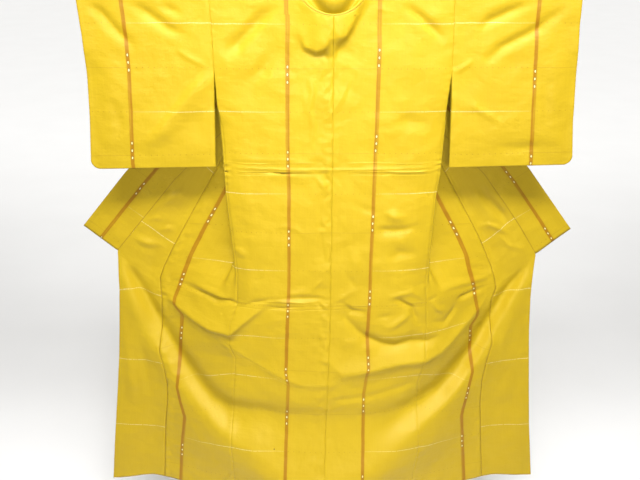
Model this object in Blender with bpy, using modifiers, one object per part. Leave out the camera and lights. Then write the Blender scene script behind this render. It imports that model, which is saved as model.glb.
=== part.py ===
# Kimono seen from the back on a hanging rod. Metres, X right, Y away from the camera, Z up.
# The origin is the middle of the rod's axis.
import math

import bmesh
import bpy
import numpy as np
from mathutils import Vector

for old in list(bpy.data.objects):
    bpy.data.objects.remove(old, do_unlink=True)

# Cloth and rod
CLOTH = 0.0016
SEAM_GAP = 0.0004
OVERLAP_GAP = 0.0009           # at the seam of the overlap panel, where the folds are steep
ROD_RADIUS = 0.014
ROD_HALF = 0.83
ROD_CHAMFER = 0.002
WRAP = 0.0159                  # middle of the cloth around the rod
QUARTER = WRAP * math.pi / 2   # cloth from the top of the rod to its side

# Cut sizes
BACK_WIDTH = 0.295
NECK_WIDTH = 0.205             # shoulder from the armhole to the neck
FRONT_WIDTH = 0.245
NECK_DROP = 0.085
TIP = 0.29                     # where the overlap panel starts, down from the shoulder
COLLAR_END = 0.85
HEM = 1.609
ARMHOLE = 0.23
SIDE_CLOSED = 0.38
SLEEVE_FOOT = 0.49
SLEEVE_CORNER = 0.025
HOOK = 0.004                   # roll of the cloth at the folded side

# Rows of the cloth, measured down from the top of the rod
NECK_ROWS = [NECK_DROP * math.cos(math.radians(turn)) for turn in (90, 75, 60, 45, 30, 15, 0)]
LEVELS = sorted(NECK_ROWS + [
    0.0075, 0.015, 0.032, 0.0885, 0.095, 0.105, 0.122, 0.145, 0.17, 0.20, ARMHOLE, 0.26, TIP, 0.31, 0.345,
    SIDE_CLOSED, 0.44, 0.51, 0.58, 0.65, 0.71, 0.76, 0.80, 0.83, COLLAR_END, 0.875, 0.90, 0.93, 0.96,
    0.99, 1.02, 1.05, 1.075, 1.10, 1.125, 1.15, 1.18, 1.21, 1.245, 1.28, 1.32, 1.36, 1.40, 1.44,
    1.48, 1.52, 1.565, HEM])
BODY_SHARES = [0, 0.014, 0.036, 0.08, 0.19, 0.34, 0.50, 0.65, 0.79, 0.92, 0.986, 1]
OKUMI_SHARES = [0, 0.025, 0.25, 0.5, 0.75, 0.975, 1]
COLLAR_SHARES = [0, 0.025, 0.065, 0.14, 0.32, 0.55, 0.78, 1]
SLEEVE_SHARES = [0, 0.012, 0.2, 0.45, 0.7, 0.86, 0.927, 0.96, 0.988, 1]
SLEEVE_LEVELS = [0, 0.0075, 0.015, 0.022, 0.0425, 0.085, 0.145, 0.20, ARMHOLE, 0.27, 0.32, 0.38,
                 0.43, 0.465, 0.475, 0.484, SLEEVE_FOOT]

# Side seam of the body: drop below the rod axis, distance out
SIDE = {
    "left": [(0, .311), (.206, .307), (.30, .304), (.345, .295), (.418, .291), (.556, .287), (.682, .277),
             (.80, .268), (.897, .272), (.959, .296), (1.034, .302), (1.075, .285), (1.12, .288),
             (1.25, .298), (1.377, .307), (1.445, .303), (1.59, .302)],
    "right": [(0, .316), (.215, .320), (.335, .310), (.418, .305), (.504, .301), (.551, .294),
              (.652, .288), (.75, .284), (.826, .280), (.884, .284), (.969, .288), (1.077, .288),
              (1.164, .271), (1.293, .274), (1.377, .280), (1.483, .268), (1.59, .268)]}
# Front edge of the body: row, distance out, depth, drop. Neck edge down to TIP, overlap seam below.
FRONT_EDGE = {
    "left": [(QUARTER, .098, WRAP, 0), (.06, .112, .026, .05), (.12, .138, .037, .125),
             (.20, .170, .050, .21), (TIP, .208, .062, .30), (.45, .297, .080, .458),
             (.60, .381, .098, .605), (.745, .462, .108, .748), (.83, .502, .112, .828),
             (.865, .514, .110, .862), (.955, .512, .103, .937), (1.045, .520, .098, 1.038),
             (1.11, .528, .093, 1.097), (1.18, .514, .088, 1.164), (1.23, .509, .085, 1.212),
             (1.30, .513, .083, 1.278), (1.38, .525, .083, 1.36), (HEM, .542, .083, 1.569)],
    "right": [(QUARTER, .108, WRAP, 0), (.06, .120, .026, .05), (.12, .144, .037, .125),
              (.20, .176, .050, .21), (TIP, .213, .062, .30), (.45, .297, .080, .455),
              (.60, .377, .096, .600), (.725, .447, .105, .728), (.83, .489, .110, .822),
              (.865, .503, .110, .862), (.90, .509, .108, .894), (.955, .497, .103, .937),
              (1.04, .500, .098, 1.03), (1.085, .505, .094, 1.07), (1.15, .490, .088, 1.135),
              (1.22, .481, .084, 1.204), (1.30, .482, .083, 1.278), (HEM, .507, .083, 1.57)]}
# Inner edge of the overlap panel: collar seam down to COLLAR_END, free edge below
FREE_EDGE = {
    "left": [(TIP, .208, .062, .30), (.606, .450, .095, .545), (COLLAR_END, .640, .125, .777),
             (.98, .643, .120, .906), (1.10, .654, .115, 1.042), (1.20, .664, .110, 1.149),
             (1.335, .682, .105, 1.294), (1.44, .696, .10, 1.408), (HEM, .718, .10, 1.588)],
    "right": [(TIP, .213, .062, .30), (.604, .444, .092, .523), (.685, .504, .10, .605),
              (.771, .567, .115, .695), (COLLAR_END, .625, .125, .788), (.94, .620, .120, .872),
              (.99, .620, .120, .930), (1.09, .625, .115, 1.038), (1.20, .633, .110, 1.149),
              (1.40, .651, .10, 1.37), (HEM, .675, .10, 1.575)]}
# Outer edge of the collar: row, distance out, depth, drop
COLLAR_EDGE = {
    "left": [(0, .078, 0, -.092), (.022, .085, .012, -.088), (.0425, .095, .024, -.070),
             (.06, .110, .031, -.050), (.12, .165, .042, .020), (.20, .228, .052, .105),
             (TIP, .302, .064, .205), (.666, .596, .112, .528), (COLLAR_END, .740, .140, .702)],
    "right": [(0, .086, 0, -.092), (.022, .092, .012, -.088), (.0425, .102, .024, -.070),
              (.06, .116, .031, -.050), (.12, .169, .042, .020), (.20, .230, .052, .105),
              (TIP, .300, .064, .203), (.653, .577, .110, .512), (COLLAR_END, .728, .140, .713)]}
# Collar around the back of the neck: share from the centre to the shoulder, then out and Z of the
# bottom of its fold, the rise beside the rod and the upper edge, each as (out share, depth, z)
NECK_BAND = [
    (0.00, (.00, -.022, -.088), (.00, -.0170, -.070), (.00, -.052, -.024), (.00, -.030, .030)),
    (0.19, (.17, -.022, -.084), (.17, -.0170, -.066), (.17, -.051, -.020), (.17, -.029, .034)),
    (0.42, (.36, -.022, -.066), (.36, -.0180, -.050), (.36, -.046, -.006), (.38, -.026, .045)),
    (0.63, (.54, -.023, -.044), (.54, -.0190, -.026), (.54, -.036, .012), (.58, -.020, .060)),
    (0.80, (.72, -.021, -.018), (.70, -.0190, -.002), (.68, -.026, .028), (.72, -.013, .074)),
    (0.92, (.86, -.018, .006), (.80, -.0160, .019), (.77, -.0140, .046), (.80, -.007, .084)),
    (1.00, (.89, .000, .020), (.84, .0000, .030), (.82, .0000, .055), (.86, .000, .092))]

# Lower edge of the cloth that bulges over the neck seam: distance from the middle, row
BULGE_EDGE = [(-.088, .10), (-.080, .14), (-.075, .176), (-.040, .182), (-.024, .172), (.024, .172),
              (.040, .145), (.066, .105), (.078, .08)]

# Place and tilt of the camera that took the photograph, and its focal length in pixels
CAMERA_AT = (-0.028, -2.331, 0.248)
CAMERA_TILT = math.radians(21.96)
CAMERA_FOCUS = 880
MIDDLE = (320, 240)            # of the photograph, in pixels
# Depth of the hanging cloth at a distance from the middle, before its folds
CLOTH_DEPTH = [(0, -.055), (.25, -.045), (.29, -.02), (.31, .01), (.50, .088), (.66, .115)]

# Large folds, traced on the photograph: pixel across, pixel down, height toward the camera in mm and the
# widths above and below in mm. The last number is 2 where the fold is round and near 1 where it is creased.
FOLDS = [
    ("left point", [(163, 292, 0, 26, 14), (171, 301, 7, 28, 16), (180, 309, 11, 30, 18), (195, 319, 12, 34, 20),
                    (210, 327, 12, 34, 20), (228, 333, 12, 32, 18), (240, 327, 9, 30, 18),
                    (252, 317, 7, 26, 18), (264, 303, 0, 20, 18)], 1.2),
    ("tuck", [(228, 346, 0, 30, 8), (236, 355, 3, 34, 10), (252, 366, 4, 34, 10), (269, 375, 4, 34, 10),
              (285, 382, 4, 34, 10), (300, 388, 4, 34, 10), (330, 389, 4, 34, 10), (342, 384, 0, 30, 8)], 1.2),
    ("right point", [(330, 366, 4, 34, 14), (343, 377, 11, 38, 20), (370, 373, 18, 40, 26),
                     (400, 367, 19, 38, 28), (427, 361, 18, 34, 28), (441, 350, 16, 30, 26),
                     (456, 335, 15, 28, 24), (470, 320, 12, 26, 20), (481, 308, 8, 24, 16),
                     (491, 294, 0, 20, 14)], 1.2),
    ("valley", [(122, 256, 0, 14, 10), (131, 273, -9, 18, 14), (140, 289, -15, 22, 18),
                (155, 312, -20, 26, 22), (170, 333, -23, 28, 26), (187, 355, -24, 28, 30),
                (203, 374, -24, 26, 38), (220, 391, -23, 24, 52), (240, 404, -22, 22, 64),
                (262, 411, -19, 20, 70), (290, 415, -16, 20, 72), (322, 416, -14, 22, 74),
                (352, 416, -12, 26, 70), (385, 412, -15, 34, 60), (405, 406, -19, 38, 50),
                (420, 399, -22, 38, 40), (435, 388, -24, 36, 32), (450, 373, -24, 34, 28),
                (463, 357, -23, 30, 26), (478, 336, -20, 26, 22), (492, 314, -16, 22, 18),
                (507, 292, -14, 20, 16), (522, 273, -9, 16, 12), (532, 261, 0, 12, 10)], 1.5),
    ("swag", [(117, 258, 0, 10, 20), (124, 276, 8, 16, 34), (133, 294, 12, 18, 44), (143, 310, 15, 20, 52),
              (154, 327, 16, 22, 58), (165, 344, 18, 24, 60), (176, 363, 19, 28, 60),
              (188, 384, 20, 34, 58), (201, 404, 23, 40, 56), (215, 421, 26, 46, 52),
              (231, 435, 27, 52, 48), (249, 447, 28, 58, 46), (268, 455, 28, 62, 46),
              (290, 461, 28, 66, 46), (322, 465, 28, 68, 46), (350, 461, 28, 64, 46),
              (376, 454, 27, 56, 48), (400, 442, 24, 48, 52), (421, 428, 22, 40, 56),
              (438, 412, 19, 32, 60), (453, 395, 18, 28, 60), (467, 377, 16, 24, 60),
              (481, 355, 15, 22, 58), (495, 332, 14, 20, 52), (507, 311, 12, 18, 44),
              (520, 289, 8, 16, 34), (533, 266, 0, 10, 20)], 2),
    ("left hollow", [(163, 281, 0, 8, 10), (180, 290, -8, 9, 12), (200, 297, -11, 9, 14), (220, 305, -11, 9, 14),
                     (236, 310, 0, 8, 12)], 1.4),
    ("right hollow", [(342, 312, 0, 12, 12), (347, 324, -7, 14, 14), (357, 335, -11, 16, 14),
                      (368, 343, -15, 16, 16), (382, 349, -16, 16, 18), (395, 351, -16, 16, 18),
                      (411, 348, -15, 16, 18), (427, 345, -12, 15, 16), (440, 336, 0, 12, 12)], 1.4)]


def smooth(low, high, value):
    """0 below low, 1 above high, eased between."""
    share = min(1.0, max(0.0, (value - low) / (high - low)))
    return share * share * (3 - 2 * share)


def column(table, index, value):
    """Value of one named column of a table at a row."""
    return float(np.interp(value, [row[0] for row in table], [row[index] for row in table]))


def rounded(corners, rounds=4):
    """Cuts corners again and again, keeping both ends and the directions there."""
    line = np.array(corners, float)
    for _ in range(rounds):
        cut = np.empty((2 * len(line) - 2, line.shape[1]))
        cut[0::2] = 0.75 * line[:-1] + 0.25 * line[1:]
        cut[1::2] = 0.25 * line[:-1] + 0.75 * line[1:]
        line = np.vstack([line[:1], cut[1:-1], line[-1:]])
    return line


def along(line, shares):
    """Points at these shares of the line's length."""
    steps = np.linalg.norm(np.diff(line, axis=0), axis=1)
    run = np.concatenate([[0], np.cumsum(steps)])
    run /= run[-1]
    return np.column_stack([np.interp(shares, run, line[:, axis]) for axis in range(line.shape[1])])


def unit(vector):
    return vector / max(1e-9, float(np.linalg.norm(vector)))


def at_pixel(px, py, depth):
    """World x and z where a pixel of the photograph meets the plane at this depth."""
    right = (px - MIDDLE[0]) / CAMERA_FOCUS
    down = (py - MIDDLE[1]) / CAMERA_FOCUS
    ahead = math.cos(CAMERA_TILT) - down * math.sin(CAMERA_TILT)
    fall = -math.sin(CAMERA_TILT) - down * math.cos(CAMERA_TILT)
    reach = (depth - CAMERA_AT[1]) / ahead
    return CAMERA_AT[0] + right * reach, CAMERA_AT[2] + fall * reach


def at_cloth(px, py):
    """World x and z where a pixel of the photograph meets the hanging cloth."""
    x, z = at_pixel(px, py, CLOTH_DEPTH[0][1])
    for _ in range(4):
        x, z = at_pixel(px, py, column(CLOTH_DEPTH, 1, abs(x)))
    return x, z


def fold(x, z):
    """Depth of all folds at a place on the cloth, positive toward the camera."""
    total = 0.0
    for path, sharpness in traced_folds:
        best = None
        for start, end in zip(path[:-1], path[1:]):
            run = end - start
            share = ((x - start[0]) * run[0] + (z - start[1]) * run[1]) / (run[0] ** 2 + run[1] ** 2)
            share = min(1.0, max(0.0, share))
            spot = start + share * run
            gap_x = x - spot[0]
            gap_z = z - spot[1]
            away = math.hypot(gap_x, gap_z)
            if best is None or away < best[0]:
                inner = 1 if spot[0] > 0 else -1
                above = gap_z > 0 if abs(run[0]) > 0.4 * abs(run[1]) else gap_x * inner < 0
                best = (away, spot[2], spot[3] if above else spot[4])
        away, height, width = best
        total += height * math.exp(-(away / width) ** sharpness)
    return total


def drop_of(row):
    """Height below the rod axis of a row of the body at the side."""
    if row < QUARTER:
        return -WRAP * math.cos(row / WRAP)
    return row - QUARTER


def half_depth(row):
    """Depth of the cloth beside the plane of the rod at the side of the body."""
    if row < QUARTER:
        return WRAP * math.sin(row / WRAP)
    return column([(QUARTER, WRAP), (.10, .0135), (.20, .0115), (ARMHOLE, .0108), (.31, .0065),
                   (.345, .0035), (SIDE_CLOSED, 0)], 1, row)


def side_out(side, row):
    return column(SIDE[side], 1, max(0.0, drop_of(row)))


def centre_x(row):
    """The centre seam leans a little as the cloth hangs."""
    return column([(0, .007), (.28, .007), (.58, .005), (.99, .001), (1.13, -.004), (1.28, -.009),
                   (1.42, -.013), (HEM, -.018)], 1, row)


def back_width(row):
    if row >= NECK_DROP:
        return BACK_WIDTH
    return BACK_WIDTH - (BACK_WIDTH - NECK_WIDTH) * math.sqrt(max(0.0, 1 - (row / NECK_DROP) ** 2))


def open_share(row):
    """0 where the front is folded behind the back, 1 where it hangs open."""
    return smooth(.76, .94, row)


def back_point(side, row, cloth):
    """Back panel at a row and a distance from the side seam."""
    sign = -1 if side == "left" else 1
    outer = side_out(side, row)
    closed = SIDE_CLOSED - 0.001
    seam_step = SEAM_GAP / 2 if row > closed else 0
    out = outer - seam_step - cloth / BACK_WIDTH * (outer - seam_step - sign * centre_x(row) - SEAM_GAP / 2)
    x = sign * out
    share = cloth / BACK_WIDTH
    depth = -half_depth(row)
    z = -drop_of(row)
    if row > QUARTER:
        panel = column([(QUARTER, -WRAP), (.5, -.0165), (.85, -.022), (1.02, -.030), (1.15, -.040),
                        (1.35, -.050), (HEM, -.060)], 1, row)
        power = 6 - 4.2 * smooth(.80, 1.10, row)
        depth += (panel - depth) * (1 - (1 - share) ** power)
        near = smooth(0, .10, cloth)
        inward = open_share(row) * (1 - near) + near
        depth -= fold(x, z) * inward
    if row < 0.26:
        across = abs(x - centre_x(row)) / 0.085
        low = column(BULGE_EDGE, 1, x - centre_x(row))
        bulge = math.exp(-across ** 2 * 1.1) * smooth(low + .014, low - .014, row) * smooth(.0, .05, row)
        depth -= 0.026 * bulge
        pocket = math.exp(-(abs(x - centre_x(row)) / 0.07) ** 2 - ((row - .180) / .022) ** 2)
        depth += 0.004 * pocket
        edge = row - NECK_DROP * math.sqrt(max(0.0, 1 - min(1.0, across / 1.06) ** 2))
        curl = max(0.0, 1 - edge / 0.014) * max(0.0, 1 - across ** 2) * smooth(.02, .06, row)
        turn = math.radians(40) * curl
        depth += 0.009 * (1 - math.cos(turn))
        z -= 0.009 * (turn - math.sin(turn))
    return np.array([x, depth, z])


def front_edge(side, row):
    """Neck and overlap edge of the front, as out, depth and z."""
    table = FRONT_EDGE[side]
    if row < QUARTER:
        neck = abs(back_point(side, 0, NECK_WIDTH)[0])
        out = neck + (table[0][1] - neck) * row / QUARTER
        return np.array([out, WRAP * math.sin(row / WRAP), WRAP * math.cos(row / WRAP)])
    return np.array([column(table, 1, row), column(table, 2, row), -column(table, 3, row)])


def front_row(side, row, folded_cloth=True):
    """One row of the front from the side seam to its front edge."""
    sign = -1 if side == "left" else 1
    closed = 1 if row > SIDE_CLOSED - 0.001 else 0
    outer = side_out(side, row) + closed * SEAM_GAP / 2
    depth = half_depth(row)
    edge = front_edge(side, row)
    edge_turn = math.radians(column([(0, 180), (.015, 180), (.032, 153), (.05, 122), (.075, 80), (.10, 52),
                                     (.15, 25), (TIP, 18), (HEM, 15)], 1, row))
    side_turn = math.radians(column([(0, 180), (.26, 180), (.31, 100), (.345, 50), (SIDE_CLOSED, 20),
                                     (.80, 20), (1.10, 22), (HEM, 22)], 1, row))
    width = NECK_WIDTH + (FRONT_WIDTH - NECK_WIDTH) * min(1.0, row / TIP)
    hook = smooth(.27, SIDE_CLOSED, row)
    start = np.array([outer, depth])
    end = edge[:2]
    start_way = np.array([math.cos(side_turn), math.sin(side_turn)])
    end_way = np.array([math.cos(edge_turn), math.sin(edge_turn)])
    reach = 0.3 * abs(end[0] - outer)
    last = .006 + .044 * smooth(.60, .90, row)
    plain = rounded([start, start + reach * start_way, end - last * end_way, end])
    turn_x = (outer + end[0] - width) / 2
    near = column([(QUARTER, WRAP), (.2, .018), (.5, .020), (.8, .022)], 1, row)
    far = column([(QUARTER, WRAP), (.06, .024), (.12, .032), (.2, .040), (.4, .048), (.8, .057)], 1, row)
    side_step = 1.3 * hook - 2 * (1 - hook)
    folded = rounded([
        start,
        start + HOOK * start_way,
        [outer + HOOK * side_step, depth + hook * 2.4 * HOOK],
        [outer - .022, depth + hook * .011],
        [turn_x + .022, near],
        [turn_x - .006, near * .75 + far * .25],
        [turn_x - .006, near * .25 + far * .75],
        [min(turn_x + .022, end[0] - .004), far],
        end - .02 * end_way,
        end])
    nose = outer - turn_x + .012 + (far - near) / 2
    nose /= outer + end[0] - 2 * turn_x + .02 + far - near
    nose = min(.72, max(.24, nose))
    gathered = [(.08 + nose - .07) / 2, nose - .07, nose, nose + .07, (nose + .07 + .92) / 2]
    gather = smooth(.08, .22, row) * (1 - smooth(.62, .80, row))
    shares = list(BODY_SHARES)
    for index, place in enumerate(gathered):
        shares[index + 4] += (place - shares[index + 4]) * gather
    weight = smooth(.04, .15, row) * (1 - smooth(.72, .92, row))
    flat = weight * along(folded, shares) + (1 - weight) * along(plain, shares)
    top = -drop_of(row)
    points = []
    for share, (out, deep) in zip(shares, flat):
        z = top + (edge[2] - top) * share
        x = sign * out
        if row > 0.7 and folded_cloth:
            deep -= fold(x, z) * open_share(row)
        points.append([x, deep, z])
    points = np.array(points)
    if row > TIP - 0.001:
        way = unit(points[-1] - points[-2])
        points[-2:] -= way * SEAM_GAP / 2
    return points


def body_points(side):
    """Rows from the back hem over the shoulder to the front hem."""
    rows = []
    for row in reversed(LEVELS[1:]):
        width = back_width(row)
        rows.append([back_point(side, row, width * share) for share in BODY_SHARES])
    for row in LEVELS:
        rows.append(front_row(side, row))
    return np.array(rows)


def okumi_points(side):
    """Rows of the overlap panel from its tip to the hem."""
    sign = -1 if side == "left" else 1
    rows = []
    for row in LEVELS:
        if row < TIP + 0.01:
            continue
        seam = front_row(side, row, folded_cloth=False)
        way = unit(seam[-1] - seam[-2])
        start = seam[-1] + way * OVERLAP_GAP
        table = FREE_EDGE[side]
        end = np.array([sign * column(table, 1, row), column(table, 2, row), -column(table, 3, row)])
        reach = float(np.linalg.norm(end - start))
        level = unit(end - start)
        line = rounded([start, start + way * reach * .25, end - level * reach * .3, end])
        points = along(line, OKUMI_SHARES)
        for point in points:
            point[1] -= fold(point[0], point[2]) * open_share(row)
        rows.append(points)
    return np.array(rows)


def collar_row(start, way, mids, end):
    """Collar from its seam to its outer edge, leaving the seam in the way of the panel."""
    first = start + way * SEAM_GAP
    line = rounded([first, first + way * 0.009] + [np.array(mid) for mid in mids] + [end])
    return along(line, COLLAR_SHARES)


def front_collar_rows(side, body, okumi):
    """Collar from its lower end up to the shoulder."""
    sign = -1 if side == "left" else 1
    fronts = body[len(LEVELS) - 1:]
    first_okumi = next(index for index, row in enumerate(LEVELS) if row > TIP + 0.01)
    rows = []
    for index, row in reversed(list(enumerate(LEVELS))):
        if row > COLLAR_END + 0.001:
            continue
        panel = fronts[index] if index < first_okumi else okumi[index - first_okumi]
        way = unit(panel[-1] - panel[-2])
        start = panel[-1]
        table = COLLAR_EDGE[side]
        end = np.array([sign * column(table, 1, row), column(table, 2, row), -column(table, 3, row)])
        middle = (start + end) / 2 + np.array([0, .010 * smooth(TIP, .05, row), 0])
        rows.append(collar_row(start, way, [middle], end))
    return rows


def neck_collar_rows(side):
    """Collar from the shoulder to the centre of the back of the neck."""
    sign = -1 if side == "left" else 1
    shoulder = abs(back_point(side, 0, NECK_WIDTH)[0] - centre_x(0))
    rows = []
    for row in [level for level in LEVELS if 0.001 < level < NECK_DROP + 0.0001]:
        width = back_width(row)
        start = back_point(side, row, width)
        slope = row / NECK_DROP
        inside = np.array([width - 0.002 * math.sqrt(1 - slope ** 2), row + 0.002 * slope])
        way = unit(start - back_point(side, inside[1], inside[0]))
        share = abs(start[0] - centre_x(row)) / shoulder
        places = []
        for index in range(1, 5):
            spots = [entry[index] for entry in NECK_BAND]
            steps = [entry[0] for entry in NECK_BAND]
            out, depth, z = [float(np.interp(share, steps, [spot[axis] for spot in spots]))
                             for axis in range(3)]
            places.append([centre_x(0) + sign * out * shoulder, depth, z])
        rows.append(collar_row(start, way, places[:-1], np.array(places[-1])))
    return rows


def sleeve_points(side):
    """One length folded over the rod, from the back foot to the front foot."""
    sign = -1 if side == "left" else 1
    inner = [(0, 0), (ARMHOLE, SEAM_GAP), (.31, .004), (.38, .006), (SLEEVE_FOOT, .009)]
    cuff = {"left": [(0, .654), (.116, .647), (.21, .646), (.33, .650), (.458, .659), (.48, .658)],
            "right": [(0, .643), (.09, .644), (.17, .649), (.267, .654), (.34, .657), (.448, .666),
                      (.48, .666)]}[side]
    foot = {"left": (.474, .480), "right": (.476, .467)}[side]
    rows = []
    stations = [(row, -1) for row in reversed(SLEEVE_LEVELS[1:])] + [(row, 1) for row in SLEEVE_LEVELS]
    for row, face in stations:
        base = side_out(side, min(row, ARMHOLE))
        points = []
        for share in SLEEVE_SHARES:
            start = base + SEAM_GAP + column(inner, 1, row)
            z = -drop_of(row)
            low = foot[0] + (foot[1] - foot[0]) * share
            z *= 1 if row < QUARTER else 1 + (low / (SLEEVE_FOOT - QUARTER) - 1) * smooth(.2, SLEEVE_FOOT, row)
            end = column(cuff, 1, max(0.0, -z))
            out = start + share * (end - start)
            across = (out - end + SLEEVE_CORNER) / SLEEVE_CORNER
            down = (-z - low + SLEEVE_CORNER) / SLEEVE_CORNER
            if across > 0 and down > 0:
                squeeze = max(across, down) / math.hypot(across, down)
                out = end - SLEEVE_CORNER + across * squeeze * SLEEVE_CORNER
                z = -(low - SLEEVE_CORNER + down * squeeze * SLEEVE_CORNER)
            if row < QUARTER:
                depth = half_depth(row)
            else:
                depth = column([(QUARTER, WRAP), (.10, .0135), (.20, .0115), (ARMHOLE, .0108),
                                (.32, .0095), (.41, .0075), (.465, .0035), (SLEEVE_FOOT, .00100)], 1, row)
                sewn = smooth(.15, .26, row) * smooth(.80, 1, share)
                depth += (0.00100 - depth) * sewn
            points.append([sign * out, face * depth, z])
        rows.append(points)
    return np.array(rows)


def cloth_material(name, colour):
    material = bpy.data.materials.new(name)
    material.use_nodes = True
    shader = material.node_tree.nodes["Principled BSDF"]
    shader.inputs["Base Color"].default_value = (*colour, 1)
    shader.inputs["Roughness"].default_value = 0.6
    return material


def sheet(name, points, colour):
    """Open sheet from rows of points, given its thickness by a modifier."""
    mesh = bpy.data.meshes.new(name)
    work = bmesh.new()
    verts = [[work.verts.new(Vector(point)) for point in row] for row in points]
    for first, second in zip(verts[:-1], verts[1:]):
        for index in range(len(first) - 1):
            work.faces.new((first[index], first[index + 1], second[index + 1], second[index]))
    bmesh.ops.recalc_face_normals(work, faces=work.faces)
    bmesh.ops.triangulate(work, faces=work.faces, quad_method="SHORT_EDGE")
    work.to_mesh(mesh)
    work.free()
    made = bpy.data.objects.new(name, mesh)
    made.data.materials.append(cloth_material(name + "_silk", colour))
    thick = made.modifiers.new("thickness", "SOLIDIFY")
    thick.thickness = CLOTH
    thick.offset = 0
    group.objects.link(made)
    return made


def rod():
    """Round rod along X with chamfered ends."""
    mesh = bpy.data.meshes.new("hanging_rod")
    work = bmesh.new()
    profile = [(-ROD_HALF, ROD_RADIUS - ROD_CHAMFER), (-ROD_HALF + ROD_CHAMFER, ROD_RADIUS),
               (ROD_HALF - ROD_CHAMFER, ROD_RADIUS), (ROD_HALF, ROD_RADIUS - ROD_CHAMFER)]
    rings = []
    for x, radius in profile:
        rings.append([work.verts.new((x, radius * math.cos(math.radians(15 * step)),
                                      radius * math.sin(math.radians(15 * step)))) for step in range(24)])
    for first, second in zip(rings[:-1], rings[1:]):
        for index in range(24):
            after = (index + 1) % 24
            work.faces.new((first[index], first[after], second[after], second[index]))
    work.faces.new(rings[0])
    work.faces.new(rings[-1])
    bmesh.ops.recalc_face_normals(work, faces=work.faces)
    work.to_mesh(mesh)
    work.free()
    made = bpy.data.objects.new("hanging_rod", mesh)
    made.data.materials.append(cloth_material("rod_lacquer", (.05, .045, .04)))
    group.objects.link(made)


group = bpy.data.collections.new("kimono")
bpy.context.scene.collection.children.link(group)

SILK = (.78, .52, .07)
traced_folds = [
    (np.array([(*at_cloth(px, py), height / 1000, above / 1000, below / 1000)
               for px, py, height, above, below in path]), sharpness)
    for _name, path, sharpness in FOLDS]
neck = {}
fronts = {}
for side in ("left", "right"):
    body = body_points(side)
    okumi = okumi_points(side)
    sheet("body_" + side, body, SILK)
    sheet("okumi_" + side, okumi, SILK)
    sheet("sleeve_" + side, sleeve_points(side), SILK)
    fronts[side] = front_collar_rows(side, body, okumi)
    neck[side] = neck_collar_rows(side)
collar = fronts["left"] + neck["left"] + neck["right"][-2::-1] + fronts["right"][::-1]
sheet("collar", np.array(collar), SILK)
rod()
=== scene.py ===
# Looks of the kimono on its rod: fine folds, woven pattern, light and camera.
# Metres, X right, Y away from the camera, Z up. The origin is the middle of the rod's axis.
import math

import bmesh
import bpy
import numpy as np
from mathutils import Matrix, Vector, noise


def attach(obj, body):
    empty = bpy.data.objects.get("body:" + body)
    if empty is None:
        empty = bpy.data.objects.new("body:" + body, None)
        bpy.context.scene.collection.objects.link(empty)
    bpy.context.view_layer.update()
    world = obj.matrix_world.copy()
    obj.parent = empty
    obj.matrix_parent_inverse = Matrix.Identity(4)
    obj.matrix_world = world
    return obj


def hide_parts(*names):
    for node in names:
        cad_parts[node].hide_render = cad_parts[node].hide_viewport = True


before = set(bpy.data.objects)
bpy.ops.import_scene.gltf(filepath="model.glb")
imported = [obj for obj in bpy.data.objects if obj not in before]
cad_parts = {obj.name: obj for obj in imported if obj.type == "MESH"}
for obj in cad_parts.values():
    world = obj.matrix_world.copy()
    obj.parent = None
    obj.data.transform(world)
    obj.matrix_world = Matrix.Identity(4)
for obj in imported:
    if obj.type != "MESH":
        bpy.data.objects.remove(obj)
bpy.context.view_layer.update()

# Cloth and rod
ROD_RADIUS = 0.014
ROD_HALF = 0.83
ROD_CHAMFER = 0.002
ROD_SIDES = 48
WRAP = 0.0159                  # middle of the cloth around the rod
QUARTER = WRAP * math.pi / 2   # cloth from the top of the rod to its side
SILK_THICK = 0.0009

# Cut sizes
BACK_WIDTH = 0.295
NECK_WIDTH = 0.205             # shoulder from the armhole to the neck
FRONT_WIDTH = 0.245
SLEEVE_WIDTH = 0.34
COLLAR_WIDTH = 0.125
NECK_DROP = 0.085
TIP = 0.29                     # where the overlap panel starts, down from the shoulder
COLLAR_END = 0.85
HEM = 1.609
ARMHOLE = 0.23
SIDE_CLOSED = 0.38
SLEEVE_FOOT = 0.49
SLEEVE_CORNER = 0.025

# Small forms of the cloth
HOOK = 0.004                   # roll at the folded side of the front
GROOVE = 0.0024                # half width of the groove at a seam
BULGE_HALF = 0.085             # cloth that bulges over the neck seam
BULGE_DEPTH = 0.026
HOLLOW_DEPTH = 0.004           # hollow under the bulge
CURL_RADIUS = 0.009            # back that curls toward the neck seam
CURL_TURN = math.radians(40)
STEP_PITCH = 0.0042            # first rows from the top of the rod

# Puckers along a seam: pitch, height, seed
BODY_PUCKERS = (0.017, 0.0014, 3)
OKUMI_PUCKERS = (0.021, 0.0006, 4)
SLEEVE_PUCKERS = (0.018, 0.0006, 7)
# Uneven hang of the silk: size, amount, seed
BODY_HANG = [(0.085, 0.0030, 1), (0.030, 0.0011, 2)]
SLEEVE_HANG = [(0.085, 0.0024, 1), (0.030, 0.0009, 2)]
COLLAR_HANG = [(0.07, 0.0016, 5), (0.025, 0.0006, 6)]
SPREAD_HANG = (0.05, 0.0022, 7)
CRUMPLES = [(0.017, 0.0032, 9), (0.009, 0.0012, 10)]

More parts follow.
